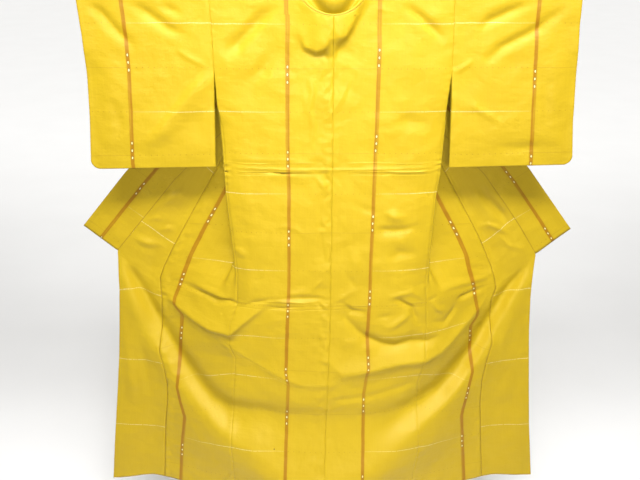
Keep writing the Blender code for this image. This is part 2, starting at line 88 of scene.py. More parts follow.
# Pattern of the silk in metres along the cloth
REPEAT = 0.231
STRIPE_HALF = 0.0047
DOT_PITCH = 0.0158
GROUP_PITCH = 0.020
STRIPE_BACK = 0.182
STRIPE_FRONT = 0.190
STRIPE_SLEEVE = 0.226
STRIPE_COLLAR = 0.0625
LINES_AT = 0.102
OKUMI_LINES_AT = 0.745
SLEEVE_LINES_AT = 0.102
COLLAR_LINES_AT = 0.10
GROUPS_AT = {"left": 0.2330, "right": 0.189}
FRONT_GROUPS_AT = {"left": (0.650, 0.880, 1.094, 1.540), "right": (0.692, 0.912, 1.107, 1.307, 1.507)}
SLEEVE_GROUPS_AT = {"left": 0.2045, "right": 0.2475}
COLLAR_GROUPS_AT = 0.203
COLLAR_BARE = 0.17             # the neck's part of the collar, without its stripe
BARE_EDGE = 0.03
WANDER = 0.0022                # unevenness of woven lines
STAIN_AT = (0.144, 1.483)

# Soft edges in the pattern: distance where it begins to show, distance where it is full
LINE_EDGE = (0.0013, 0.0003)
DARK_LINE_EDGE = (0.0012, 0.0003)
DARK_DOT_EDGE = (0.0016, 0.0007)
WHITE_DOT_EDGE = (0.0023, 0.0011)
RIM_EDGE = (0.0032, 0.0022)
# Edge of the painted shade along a seam, which is not part of the woven pattern
SEAM_SHADE_EDGE = (0.0028, 0.0012)
STAIN_EDGE = (0.0030, 0.0014)
CREASE_EDGE = (0.0035, 0.0)

# Noise of the silk: scale per metre, and the stretch that draws it out down the cloth or across it
CLOUDS = 7
THREADS = 260
SLUBS = 210
WEAVE = 900
CRUSHED = 26
CRUSHED_WIDE = 9
DOWN = (1, 0.04, 1)
OVER = (0.05, 1, 1)
SPECULAR = 0.32

# Creases that the silk was pressed in when it lay folded: cloth length, depth in mm
PRESSED = [(0.476, 1.2), (0.500, 1.8), (0.508, -1.2), (0.905, 1.2), (0.921, -1.0)]

# Colours of the silk and its pattern, the wood and the room
SILK_PALE = (0.38, 0.262, 0.0065)
SILK_DEEP = (0.345, 0.230, 0.0045)
SILK_THREAD = (0.31, 0.200, 0.004)
SILK_GLOSS = (1.0, 0.94, 0.68)
STRIPE = (0.245, 0.112, 0.0015)
STRIPE_SOFT = (0.31, 0.185, 0.003)
PALE_LINE = (0.60, 0.53, 0.27)
# Colour of the pattern's dark dots and dark weft lines, also used for the painted shade along seams
DARK_DOT_AND_SEAM_SHADE = (0.17, 0.09, 0.006)
RIM = (0.11, 0.055, 0.005)
DOT_WHITE = (0.62, 0.56, 0.24)
STAIN = (0.07, 0.035, 0.006)
WOOD_DARK = (0.030, 0.018, 0.011)
WOOD_PALE = (0.075, 0.042, 0.022)
WOOD_PORE = (0.015, 0.010, 0.008)
FLOOR_DARK = (0.79, 0.785, 0.775)
FLOOR_PALE = (0.83, 0.825, 0.815)
WORLD_COLOUR = (1.0, 0.995, 0.98)

# Room and light: name, place, target, width, height, watts, spread in degrees
FLOOR = -1.75
FLOOR_HALF = 20
WORLD_LIGHT = 0.42
LIGHTS = [
    ("key", (0.1, -1.35, 1.35), (0, 0, -0.25), 2.8, 0.45, 56, 100),
    ("upper_front", (0, -2.9, 0.15), (0, 0, 0.0), 1.6, 0.5, 5, 40),
    ("lower_front", (0.1, -2.9, 0.30), (0, 0, -1.50), 1.0, 0.5, 8, 50),
    ("floor_light", (0, 12.6, 5), (0, 12.6, 0), 22, 20, 1180, 50)]

# Camera of the photograph, with its focal length in pixels
PHOTO_WIDTH = 640
PHOTO_HEIGHT = 480
SENSOR = 36
CAMERA_AT = np.array([-0.028, -2.331, 0.248])
CAMERA_TILT = math.radians(21.96)
CAMERA_FOCUS = 880

# Side seam of the body: drop below the rod axis, distance out
SIDE = {
    "left": [
        (0, .311), (.206, .307), (.30, .304), (.345, .295), (.418, .291), (.556, .287), (.682, .277),
        (.80, .268), (.897, .272), (.959, .296), (1.034, .302), (1.075, .285), (1.12, .288), (1.25, .298),
        (1.377, .307), (1.445, .303), (1.59, .302)],
    "right": [
        (0, .316), (.215, .320), (.335, .310), (.418, .305), (.504, .301), (.551, .294), (.652, .288),
        (.75, .284), (.826, .280), (.884, .284), (.969, .288), (1.077, .288), (1.164, .271), (1.293, .274),
        (1.377, .280), (1.483, .268), (1.59, .268)]}
# Front edge of the body: row, distance out, depth, drop. Neck edge down to TIP, overlap seam below.
FRONT_EDGE = {
    "left": [
        (QUARTER, .098, WRAP, 0), (.06, .112, .026, .05), (.12, .138, .037, .125), (.20, .170, .050, .21),
        (TIP, .208, .062, .30), (.45, .297, .080, .458), (.60, .381, .098, .605), (.745, .462, .108, .748),
        (.83, .502, .112, .828), (.865, .514, .110, .862), (.955, .512, .103, .937),
        (1.045, .520, .098, 1.038), (1.11, .528, .093, 1.097), (1.18, .514, .088, 1.164),
        (1.23, .509, .085, 1.212), (1.30, .513, .083, 1.278), (1.38, .525, .083, 1.36),
        (HEM, .542, .083, 1.569)],
    "right": [
        (QUARTER, .108, WRAP, 0), (.06, .120, .026, .05), (.12, .144, .037, .125), (.20, .176, .050, .21),
        (TIP, .213, .062, .30), (.45, .297, .080, .455), (.60, .377, .096, .600), (.725, .447, .105, .728),
        (.83, .489, .110, .822), (.865, .503, .110, .862), (.90, .509, .108, .894), (.955, .497, .103, .937),
        (1.04, .500, .098, 1.03), (1.085, .505, .094, 1.07), (1.15, .490, .088, 1.135),
        (1.22, .481, .084, 1.204), (1.30, .482, .083, 1.278), (HEM, .507, .083, 1.57)]}
# Inner edge of the overlap panel: collar seam down to COLLAR_END, free edge below
FREE_EDGE = {
    "left": [
        (TIP, .208, .062, .30), (.606, .450, .095, .545), (COLLAR_END, .640, .125, .777),
        (.98, .643, .120, .906), (1.10, .654, .115, 1.042), (1.20, .664, .110, 1.149),
        (1.335, .682, .105, 1.294), (1.44, .696, .10, 1.408), (HEM, .718, .10, 1.588)],
    "right": [
        (TIP, .213, .062, .30), (.604, .444, .092, .523), (.685, .504, .10, .605), (.771, .567, .115, .695),
        (COLLAR_END, .625, .125, .788), (.94, .620, .120, .872), (.99, .620, .120, .930),
        (1.09, .625, .115, 1.038), (1.20, .633, .110, 1.149), (1.40, .651, .10, 1.37),
        (HEM, .675, .10, 1.575)]}
# Outer edge of the collar: row, distance out, depth, drop
COLLAR_EDGE = {
    "left": [
        (0, .078, 0, -.092), (.022, .085, .012, -.088), (.0425, .095, .024, -.070), (.06, .110, .031, -.050),
        (.12, .165, .042, .020), (.20, .228, .052, .105), (TIP, .302, .064, .205), (.666, .596, .112, .528),
        (COLLAR_END, .740, .140, .702)],
    "right": [
        (0, .086, 0, -.092), (.022, .092, .012, -.088), (.0425, .102, .024, -.070), (.06, .116, .031, -.050),
        (.12, .169, .042, .020), (.20, .230, .052, .105), (TIP, .300, .064, .203), (.653, .577, .110, .512),
        (COLLAR_END, .728, .140, .713)]}
# Collar around the back of the neck: share from the centre to the shoulder, then out and Z of the
# bottom of its fold, the rise beside the rod and the upper edge, each as (out share, depth, z)
NECK_BAND = [
    (0.00, (.00, -.022, -.088), (.00, -.0170, -.070), (.00, -.052, -.024), (.00, -.030, .030)),
    (0.19, (.17, -.022, -.084), (.17, -.0170, -.066), (.17, -.051, -.020), (.17, -.029, .034)),
    (0.42, (.36, -.022, -.066), (.36, -.0180, -.050), (.36, -.046, -.006), (.38, -.026, .045)),
    (0.63, (.54, -.023, -.044), (.54, -.0190, -.026), (.54, -.036, .012), (.58, -.020, .060)),
    (0.80, (.72, -.021, -.018), (.70, -.0190, -.002), (.68, -.026, .028), (.72, -.013, .074)),
    (0.92, (.86, -.018, .006), (.80, -.0160, .019), (.77, -.0140, .046), (.80, -.007, .084)),
    (1.00, (.89, .000, .020), (.84, .0000, .030), (.82, .0000, .055), (.86, .000, .092))]

# Depth of the cloth at the side, and of the back away from its side: row, depth
SIDE_DEPTH = [
    (QUARTER, WRAP), (.10, .0135), (.20, .0115), (ARMHOLE, .0108), (.31, .0065), (.345, .0035),
    (SIDE_CLOSED, 0)]
BACK_DEPTH = [
    (QUARTER, -WRAP), (.5, -.0165), (.85, -.022), (1.02, -.030), (1.15, -.040), (1.35, -.050),
    (HEM, -.060)]
# The centre seam leans a little as the cloth hangs: row, distance to the right
CENTRE = [
    (0, .007), (.28, .007), (.58, .005), (.99, .001), (1.13, -.004), (1.28, -.009), (1.42, -.013),
    (HEM, -.018)]
# Direction in degrees of the front at its front edge and at its side: row, direction
EDGE_TURN = [
    (0, 180), (.015, 180), (.032, 153), (.05, 122), (.075, 80), (.10, 52), (.15, 25), (TIP, 18),
    (HEM, 15)]
SIDE_TURN = [
    (0, 180), (.26, 180), (.31, 100), (.345, 50), (SIDE_CLOSED, 20), (.80, 20), (1.10, 22), (HEM, 22)]
# Depth of both layers of the front where it is folded: row, depth
NEAR_LAYER = [(QUARTER, WRAP), (.2, .018), (.5, .020), (.8, .022)]
FAR_LAYER = [(QUARTER, WRAP), (.06, .024), (.12, .032), (.2, .040), (.4, .048), (.8, .057)]
# Sleeve: its inner edge beyond the body and its half depth at a row, its outer edge at a drop, and the
# drop of its foot at both ends
SLEEVE_INNER = [(0, 0), (ARMHOLE, 0), (.31, .004), (.38, .006), (SLEEVE_FOOT, .009)]
SLEEVE_DEPTH = [
    (QUARTER, WRAP), (.10, .0135), (.20, .0115), (ARMHOLE, .0108), (.32, .0095), (.41, .0075),
    (.465, .0035), (SLEEVE_FOOT, .0006)]
CUFF = {
    "left": [(0, .654), (.116, .647), (.21, .646), (.33, .650), (.458, .659), (.48, .658)],
    "right": [(0, .643), (.09, .644), (.17, .649), (.267, .654), (.34, .657), (.448, .666), (.48, .666)]}
FOOT = {"left": (.474, .480), "right": (.476, .467)}

# Lower edge of the cloth that bulges over the neck seam: distance from the middle, row, half its drop
BULGE_EDGE = [
    (-.110, .150, .05), (-.092, .150, .03), (-.084, .155, .012), (-.076, .172, .006), (-.045, .184, .007),
    (-.022, .178, .012), (-.008, .172, .050), (.003, .165, .050), (.012, .158, .026), (.022, .151, .013),
    (.034, .144, .012), (.056, .105, .018), (.072, .07, .03), (.095, .03, .04)]

# Depth of the hanging cloth at a distance from the middle, before its folds
CLOTH_DEPTH = [(0, -.055), (.25, -.045), (.29, -.02), (.31, .01), (.50, .088), (.66, .115)]

# Large folds, traced on the photograph: pixel across, pixel down, height toward the camera in mm and the
# widths above and below in mm. The number beside the name is 2 where the fold is round and near 1
# where it is creased.
FOLDS = [
    ("left point", 1.2, [
        (163, 292, 0, 26, 14), (171, 301, 8, 28, 14), (180, 309, 13, 30, 14), (195, 319, 16, 32, 13),
        (210, 327, 18, 32, 12), (229, 334, 19, 30, 10), (240, 328, 14, 28, 11), (252, 320, 10, 26, 13),
        (268, 309, 0, 20, 16)]),
    ("tuck", 1.2, [
        (228, 346, 0, 30, 8), (236, 355, 3, 34, 10), (252, 366, 4, 34, 10), (269, 375, 4, 34, 10),
        (285, 382, 4, 34, 10), (300, 388, 4, 34, 10), (330, 389, 4, 34, 10), (342, 384, 0, 30, 8)]),
    ("right point", 1.2, [
        (330, 366, 4, 34, 14), (343, 377, 11, 38, 20), (370, 373, 18, 40, 26), (400, 367, 19, 38, 28),
        (427, 361, 18, 34, 28), (441, 350, 16, 30, 26), (456, 335, 15, 28, 24), (470, 320, 12, 26, 20),
        (481, 308, 8, 24, 16), (491, 294, 0, 20, 14)]),
    ("valley", 2, [
        (122, 256, 0, 14, 10), (131, 273, -9, 18, 16), (139, 291, -15, 24, 20), (152, 316, -20, 30, 26),
        (166, 339, -23, 34, 30), (181, 362, -24, 36, 32), (196, 382, -24, 38, 38), (212, 400, -23, 38, 46),
        (231, 412, -22, 38, 58), (256, 419, -19, 38, 68), (288, 421, -16, 40, 78), (322, 421, -14, 42, 82),
        (354, 422, -12, 42, 76), (387, 424, -15, 42, 62), (408, 418, -19, 44, 48), (424, 406, -22, 44, 40),
        (438, 393, -24, 42, 34), (452, 377, -24, 38, 30), (465, 360, -23, 34, 28), (480, 338, -20, 28, 24),
        (493, 316, -16, 22, 20), (508, 294, -14, 20, 16), (522, 275, -9, 16, 12), (532, 262, 0, 12, 10)]),
    ("swag", 2, [
        (117, 258, 0, 10, 20), (124, 276, 8, 16, 40), (133, 294, 12, 18, 56), (143, 310, 15, 20, 70),
        (154, 327, 16, 22, 80), (165, 344, 18, 24, 88), (176, 363, 19, 28, 92), (188, 384, 20, 34, 96),
        (201, 404, 22, 40, 120), (215, 422, 24, 46, 140), (231, 439, 26, 54, 140), (249, 456, 28, 64, 120),
        (268, 472, 30, 74, 80), (290, 484, 31, 84, 60), (322, 490, 32, 92, 50), (350, 484, 31, 84, 60),
        (376, 471, 29, 72, 80), (400, 452, 27, 58, 120), (421, 431, 23, 46, 140), (438, 412, 20, 34, 120),
        (453, 395, 18, 28, 92), (467, 377, 16, 24, 88), (481, 355, 15, 22, 80), (495, 332, 14, 20, 70),
        (507, 311, 12, 18, 56), (520, 289, 8, 16, 40), (533, 266, 0, 10, 20)]),
    ("left hollow", 1.2, [
        (160, 275, 0, 8, 8), (176, 284, -4, 11, 8), (196, 292, -8, 13, 8), (216, 301, -10, 13, 8),
        (230, 305, -8, 12, 6), (240, 311, 0, 10, 6)]),
    ("right hollow", 1.4, [
        (342, 312, 0, 12, 12), (347, 324, -7, 14, 14), (357, 335, -11, 16, 14), (368, 343, -15, 16, 16),
        (382, 349, -16, 16, 18), (395, 351, -16, 16, 18), (411, 348, -15, 16, 18), (427, 345, -12, 15, 16),
        (440, 336, 0, 12, 12)])]


def spaced(start, end, count):
    """Numbers spaced evenly."""
    return [float(value) for value in np.linspace(start, end, count)]


# Rows of the cloth, measured down from the top of the rod, and shares across each panel. They are closer
# round the neck, at the pressed creases and at the seams.
NECK_ROWS = [NECK_DROP * math.cos(math.radians(5 * step)) for step in range(18, -1, -1)]
LEVEL_PARTS = [
    NECK_ROWS,
    [STEP_PITCH * step for step in range(1, 6)],
    [NECK_DROP + 0.003 * step for step in range(1, 6)],
    np.linspace(0.106, HEM, 252),
    np.linspace(0.4801, 0.5161, 13),
    np.linspace(0.9001, 0.9601, 16)]
LEVELS = sorted({round(row, 5) for part in LEVEL_PARTS for row in part})
BODY_SHARES = [0, 0.004, 0.009, 0.016, 0.025, 0.036, 0.050, 0.068, 0.088, *spaced(0.106, 0.978, 58),
               0.984, 0.992, 1]
OKUMI_SHARES = [0, 0.012, 0.03, *spaced(0.06, 0.94, 24), 0.97, 0.988, 1]
COLLAR_SHARES = [0, 0.012, 0.03, 0.05, *spaced(0.08, 0.94, 24), 0.97, 0.988, 1]
SLEEVE_SHARES = [0, 0.006, 0.015, *spaced(0.035, 0.955, 52), 0.965, 0.975, 0.985, 0.993, 1]
SLEEVE_LEVELS = [0, 0.0042, 0.0084, 0.0126, 0.0168, 0.021, *spaced(0.026, 0.464, 72),
                 0.469, 0.474, 0.479, 0.484, 0.4875, SLEEVE_FOOT]

# Cloth taken up in folds, added to the drop: above and below the overlapping fold, and at the overlap seam
UP_ABOVE = [(0, .018), (.80, .016), (.90, .020), (1.00, .033), (1.15, .045)]
UP_BELOW = [(.90, .075), (1.05, .105), (1.14, .128), (1.27, .117), (1.38, .108), (1.585, .088)]
UP_EDGE = [(0, 0), (.748, 0), (.937, .048), (1.164, .051), (1.36, .085), (1.569, .096)]

# Cloth length at a row of the overlap panel, and at a height below the rod where it hangs open
OKUMI_LENGTH = [(TIP, TIP), (.745, .745), (.955, 1.003), (1.18, 1.237), (1.38, 1.423), (HEM, 1.643)]
OKUMI_RUN = [(.745, .745), (.919, .976), (1.138, 1.207), (1.376, 1.438), (1.61, 1.67)]

# Edge of the overlapping fold and the woven stripes, as pixels of the photograph
LIP = [
    (160, 290), (172, 302), (195, 320), (212, 331), (228, 345), (236, 356), (269, 375), (289, 387),
    (327, 388), (343, 377), (370, 373), (400, 367), (427, 361), (456, 335), (481, 308), (491, 294)]
BACK_STRIPE = {
    "left": [
        (287, 0), (287, 150), (288.5, 200), (288.3, 290), (286.4, 345), (285.4, 376), (288, 389),
        (286.4, 425), (285.2, 475)],
    "right": [
        (380.8, 0), (380.4, 50), (377.4, 140), (376.2, 160), (373.8, 220), (371.4, 270), (370.6, 300),
        (367.6, 340), (369, 369), (364, 396), (363, 450), (362.2, 475)]}
FRONT_STRIPE = {
    "left": [
        (188.8, 265), (181, 282), (174, 298), (173, 305), (182, 315), (180.7, 338), (179, 367), (177.4, 384),
        (180.7, 397), (186, 413), (184.7, 428), (183, 444), (181.5, 478)],
    "right": [
        (465.3, 268), (473.4, 287), (479, 312), (478, 318), (471, 327), (471, 354), (472.6, 371), (465, 400),
        (461, 415), (462.8, 457), (463.6, 478)]}

# Small folds and pressed creases, as pixels of the photograph: path, height, width above, width below in mm
BACK_FOLDS = [
    ([(281, 0), (258, 23), (236, 47), (222, 56)], -11.2, 20, 15),
    ([(281, 40), (262, 72), (242, 95)], -8.0, 20, 20),
    ([(401.5, 0), (420.6, 18), (434.7, 31.5), (445, 43)], -8.0, 13, 9),
    ([(373, 5.6), (385, 10), (396, 14)], 2.2, 3, 3),
    ([(374, 9), (382, 10.5), (389, 14)], 1.9, 3, 3),
    ([(332.6, 116), (342, 98), (355, 77)], 3.5, 7, 5),
    ([(357, 72), (352, 86), (346, 100)], -3.2, 6, 5),
    ([(302, 79), (305, 105), (306.5, 135)], 1.6, 4, 4),
    ([(308, 76), (313, 92), (309, 110), (314, 128), (310, 150)], 3.2, 8, 8),
    ([(224, 169), (262, 170.5), (300, 171.5), (360, 171), (410, 170), (439, 169)], 2.4, 3.5, 3.5),
    ([(226, 173.5), (262, 174.5), (300, 176), (340, 175)], -1.6, 3, 3),
    ([(216, 162), (250, 161), (285, 162), (312, 164)], 2.0, 3.5, 3.5),
    ([(370, 171), (396, 173.5), (420, 174), (438, 173)], 2.4, 3.5, 3.5),
    ([(318.6, 200), (320.5, 239), (325, 265.5)], -3.0, 4, 4),
    ([(312, 174), (321, 185), (331, 198)], 4.2, 5, 4),
    ([(318, 170), (327, 181), (337, 191)], -3.6, 5, 4),
    ([(322, 221), (327, 228), (332, 236)], 3.0, 4, 4),
    ([(268, 233), (283, 228), (296, 230), (307, 240)], 2.0, 4, 4),
    ([(250, 281), (257, 283), (264, 281)], -2.6, 4, 4),
    ([(385, 214), (396, 219), (409, 221)], 6.4, 15, 13),
    ([(375, 231), (385, 232), (403, 232), (420, 230)], -7.2, 10, 15),
    ([(232, 250), (240, 256), (248, 259)], 5.1, 13, 9),
    ([(391, 126), (410, 123), (432, 128)], -6.4, 22, 22),
    ([(350, 204), (366, 211), (380, 215)], -3.2, 10, 10)]
LOW_FOLDS = [
    ([(244, 332), (254, 322), (266, 314), (282, 306)], -3.5, 14, 18),
    ([(236, 312), (252, 307), (270, 304), (296, 303)], -4.4, 4, 7),
    ([(226, 282), (231, 293), (236, 303)], -7.5, 9, 9),
    ([(240, 250), (247, 280), (244, 312)], 6.0, 16, 16),
    ([(283, 303), (300, 302), (318, 303), (330, 305)], -5.2, 4, 5),
    ([(284, 299), (300, 298), (318, 299)], 4.2, 5, 4),
    ([(258, 306), (275, 305), (300, 307), (318, 307)], 4.0, 4, 4),
    ([(262, 311), (282, 312), (300, 311)], -3.6, 4, 5),
    ([(312, 296), (317, 290), (330, 277)], 4.4, 5, 4),
    ([(316, 306), (322, 313), (330, 316)], -3.3, 4, 5),
    ([(320, 307), (326, 311), (331, 308)], 3.3, 4, 4),
    ([(332, 306), (340, 304), (350, 298), (360, 297)], 3.9, 6, 6),
    ([(340, 306), (352, 315), (370, 317)], -7.5, 7, 14),
    ([(388, 303), (400, 299), (413, 297), (426, 303)], 6.0, 8, 5),
    ([(395, 301), (403, 307), (412, 312), (416, 322), (420, 332)], -7.5, 7, 9),
    ([(383, 333), (394, 331), (404, 324), (413, 317)], 5.0, 13, 7),
    ([(374, 322), (386, 321), (394, 317)], -3.0, 8, 8),
    ([(388, 265), (400, 258), (414, 258), (424, 262)], -6.0, 16, 14),
    ([(400, 240), (412, 236), (426, 232)], 4.5, 10, 10),
    ([(405, 277), (414, 275), (424, 277)], 3.0, 6, 6),
    ([(350, 250), (356, 266), (358, 282)], 3.9, 14, 14),
    ([(342, 272), (350, 284), (358, 294)], -3.3, 10, 10),
    ([(338, 352), (348, 346), (360, 346)], 3.8, 12, 12),
    ([(270, 328), (278, 324), (286, 323)], 1.8, 6, 6),
    ([(196, 410), (206, 432), (224, 460), (236, 478)], 1.6, 12, 10),
    ([(420, 386), (400, 393), (372, 399), (340, 403), (325, 404)], -3.3, 10, 12),
    ([(436, 366), (420, 376), (402, 382)], 2.4, 8, 8),
    ([(322, 336), (325, 350), (324, 366)], 2.4, 7, 7)]
FRONT_FOLDS = [
    ([(186, 284), (204, 291), (222, 298), (238, 305)], 7.0, 12, 6),
    ([(168, 264), (178, 267), (192, 269), (206, 264), (218, 252), (226, 238)], -8.4, 9, 10),
    ([(184, 272), (200, 275), (216, 274)], 5.6, 11, 14),
    ([(140, 246), (152, 249), (172, 250), (190, 247)], -5.6, 9, 10),
    ([(136, 254), (146, 258), (158, 262)], 4.2, 9, 9),
    ([(142, 269), (150, 270), (162, 273)], -4.2, 7, 7),
    ([(204, 323), (216, 334), (226, 345), (236, 354)], 2.2, 10, 5),
    ([(184, 402), (190, 414), (200, 432), (214, 452)], 1.6, 15, 15),
    ([(121, 300), (126, 340), (132, 380), (134, 410)], 4.2, 16, 16),
    ([(137, 330), (146, 360), (150, 400)], -4.2, 16, 16),
    ([(440, 292), (452, 288), (470, 285), (486, 281), (497, 275)], 8.4, 11, 6),
    ([(456, 302), (462, 298), (474, 294), (488, 289)], -8.4, 6, 9),
    ([(430, 302), (438, 309), (446, 314)], 5.6, 11, 7),
    ([(427, 305), (432, 301), (438, 296)], -3.4, 4, 4),
    ([(430, 324), (444, 322), (452, 312), (456, 304)], -5.6, 7, 10),
    ([(464, 270), (472, 271), (480, 272), (490, 272)], -5.6, 5, 6),
    ([(436, 236), (438, 248), (446, 262)], -7.0, 10, 12),
    ([(458, 262), (464, 250), (466, 240)], -2.8, 8, 8),
    ([(500, 256), (512, 251), (522, 256)], 2.8, 6, 5),
    ([(500, 238), (509, 242), (518, 249), (528, 257)], 3.4, 6, 5),
    ([(498, 246), (508, 251), (520, 260)], -2.8, 6, 6),
    ([(516, 300), (506, 330), (498, 360)], 3.6, 16, 16),
    ([(522, 360), (512, 400), (508, 440)], -4.2, 18, 18)]
SPREAD_FOLDS = [
    ([(480, 229), (490, 226), (500, 230), (513, 238)], 7.0, 4, 9),
    ([(500, 238), (512, 249), (530, 252)], 5.6, 5, 8),
    ([(474, 182), (488, 200), (504, 216), (512, 228)], -9.0, 16, 16),
    ([(511, 213), (518, 209), (525, 205)], -4.0, 5, 5),
    ([(148, 214), (153, 209), (160, 206)], 5.0, 5, 6),
    ([(146, 223), (154, 220), (162, 222)], 5.0, 5, 5),
    ([(158, 234), (166, 230), (175, 231)], 5.6, 5, 7),
    ([(128, 240), (146, 246), (166, 248)], 6.5, 10, 12),
    ([(150, 205), (168, 198), (186, 194)], 8.0, 14, 18)]
SLEEVE_FOLDS = [
    ([(87, 0), (101, 14), (119, 34), (137, 49)], -9.0, 15, 12),
    ([(130, 0), (146, 13), (168, 29), (190, 36)], -8.0, 14, 12),
    ([(157, 0), (170, 9), (184, 17)], -6.0, 12, 10),
    ([(176, 49), (184, 55), (197, 62), (211, 69)], 4.0, 6, 5),
    ([(214, 70), (199, 84), (182, 105), (161, 131), (146, 147)], 8.0, 12, 30),
    ([(108, 92), (118, 118), (122, 146)], -3.2, 14, 14),
    ([(534.5, 0), (512, 11), (490, 21), (480, 31)], -8.0, 13, 11),
    ([(568, 5), (540, 28), (502, 48), (484, 64)], -9.0, 14, 12),
    ([(474, 60), (470, 63), (461, 69), (452, 74)], 4.0, 6, 5),
    ([(470, 105), (475, 107), (490, 117), (505, 127)], 3.6, 7, 7),
    ([(488, 148), (520, 149), (559, 146)], -4.4, 14, 12),
    ([(552, 70), (546, 100), (548, 130)], -3.2, 14, 14)]


def sign_of(side):
    return -1 if side == "left" else 1


def smooth(low, high, value):
    """0 below low, 1 above high, eased between."""
    share = min(1.0, max(0.0, (value - low) / (high - low)))
    return share * share * (3 - 2 * share)


def column(table, index, value):
    """Value of one named column of a table at a row."""
    return float(np.interp(value, [row[0] for row in table], [row[index] for row in table]))


def rounded(corners, rounds=4):
    """Cuts corners again and again, keeping both ends and the directions there."""
    line = np.array(corners, float)
    for _ in range(rounds):
        cut = np.empty((2 * len(line) - 2, line.shape[1]))
        cut[0::2] = 0.75 * line[:-1] + 0.25 * line[1:]
        cut[1::2] = 0.25 * line[:-1] + 0.75 * line[1:]
        line = np.vstack([line[:1], cut[1:-1], line[-1:]])
    return line


def along(line, shares):
    """Points at these shares of the line's length."""
    steps = np.linalg.norm(np.diff(line, axis=0), axis=1)
    run = np.concatenate([[0], np.cumsum(steps)])
    run /= run[-1]
    return np.column_stack([np.interp(shares, run, line[:, axis]) for axis in range(line.shape[1])])


def unit(vector):
    return vector / max(1e-9, float(np.linalg.norm(vector)))


def at_pixel(px, py, depth):
    """World x and z where a pixel of the photograph meets the plane at this depth."""
    right = (px - PHOTO_WIDTH / 2) / CAMERA_FOCUS
    down = (py - PHOTO_HEIGHT / 2) / CAMERA_FOCUS
    ahead = math.cos(CAMERA_TILT) - down * math.sin(CAMERA_TILT)
    fall = -math.sin(CAMERA_TILT) - down * math.cos(CAMERA_TILT)
    reach = (depth - CAMERA_AT[1]) / ahead
    return CAMERA_AT[0] + right * reach, CAMERA_AT[2] + fall * reach


def at_cloth(px, py):
    """World x and z where a pixel of the photograph meets the hanging cloth."""
    x, z = at_pixel(px, py, CLOTH_DEPTH[0][1])
    for _ in range(4):
        x, z = at_pixel(px, py, column(CLOTH_DEPTH, 1, abs(x)))
    return x, z


def ease(low, high, values):
    """The same as smooth, for arrays."""
    share = np.clip((values - low) / (high - low), 0, 1)
    return share * share * (3 - 2 * share)


def fold_depth(x, z, folds):
    """Depth of a list of folds at many places, positive toward the camera."""
    total = np.zeros(len(x))
    for path, sharpness in folds:
        best = np.full(len(x), 1e9)
        height = np.zeros(len(x))
        width = np.ones(len(x))
        for start, end in zip(path[:-1], path[1:]):
            run = end - start
            share = ((x - start[0]) * run[0] + (z - start[1]) * run[1]) / (run[0] ** 2 + run[1] ** 2)
            share = np.clip(share, 0, 1)
            gap_x = x - start[0] - share * run[0]
            gap_z = z - start[1] - share * run[1]
            away = np.hypot(gap_x, gap_z)
            inner = np.where(start[0] + share * run[0] > 0, 1, -1)
            above = gap_z > 0 if abs(run[0]) > 0.4 * abs(run[1]) else gap_x * inner < 0
            here = np.where(above, start[3] + share * run[3], start[4] + share * run[4])
            nearer = away < best
            best = np.where(nearer, away, best)
            height = np.where(nearer, start[2] + share * run[2], height)
            width = np.where(nearer, here, width)
        total += height * np.exp(-(best / width) ** sharpness)
    return total


def large_folds():
    """The large folds from pixels and millimetres to metres."""
    made = []
    for _name, sharpness, path in FOLDS:
        rows = [(*at_cloth(px, py), height / 1000, above / 1000, below / 1000)
                for px, py, height, above, below in path]
        made.append((np.array(rows), sharpness))
    return made


def small_folds(rows, depth=None):
    """Small folds from pixels on cloth at this depth, or on the hanging cloth. Narrow ones are creased."""
    made = []
    for path, height, above, below in rows:
        last = len(path) - 1
        points = []
        for index, (px, py) in enumerate(path):
            x, z = at_cloth(px, py) if depth is None else at_pixel(px, py, depth)
            taper = 0.0 if last > 1 and index in (0, last) else 1.0
            points.append((x, z, height / 1000 * taper, above / 1000, below / 1000))
        made.append((np.array(points), 1.3 if above + below < 14 else 2))
    return made


def drop_of(row):
    """Height below the rod axis of a row of the body at the side."""
    if row < QUARTER:
        return -WRAP * math.cos(row / WRAP)
    return row - QUARTER


def half_depth(row):
    """Depth of the cloth beside the plane of the rod at the side of the body."""
    if row < QUARTER:
        return WRAP * math.sin(row / WRAP)
    return column(SIDE_DEPTH, 1, row)


def side_out(side, row):
    return column(SIDE[side], 1, max(0.0, drop_of(row)))


def centre_x(row):
    return column(CENTRE, 1, row)


def back_width(row):
    if row >= NECK_DROP:
        return BACK_WIDTH
    return BACK_WIDTH - (BACK_WIDTH - NECK_WIDTH) * math.sqrt(max(0.0, 1 - (row / NECK_DROP) ** 2))


def open_share(row):
    """0 where the front is folded behind the back, 1 where it hangs open."""
    return smooth(.76, .94, row)


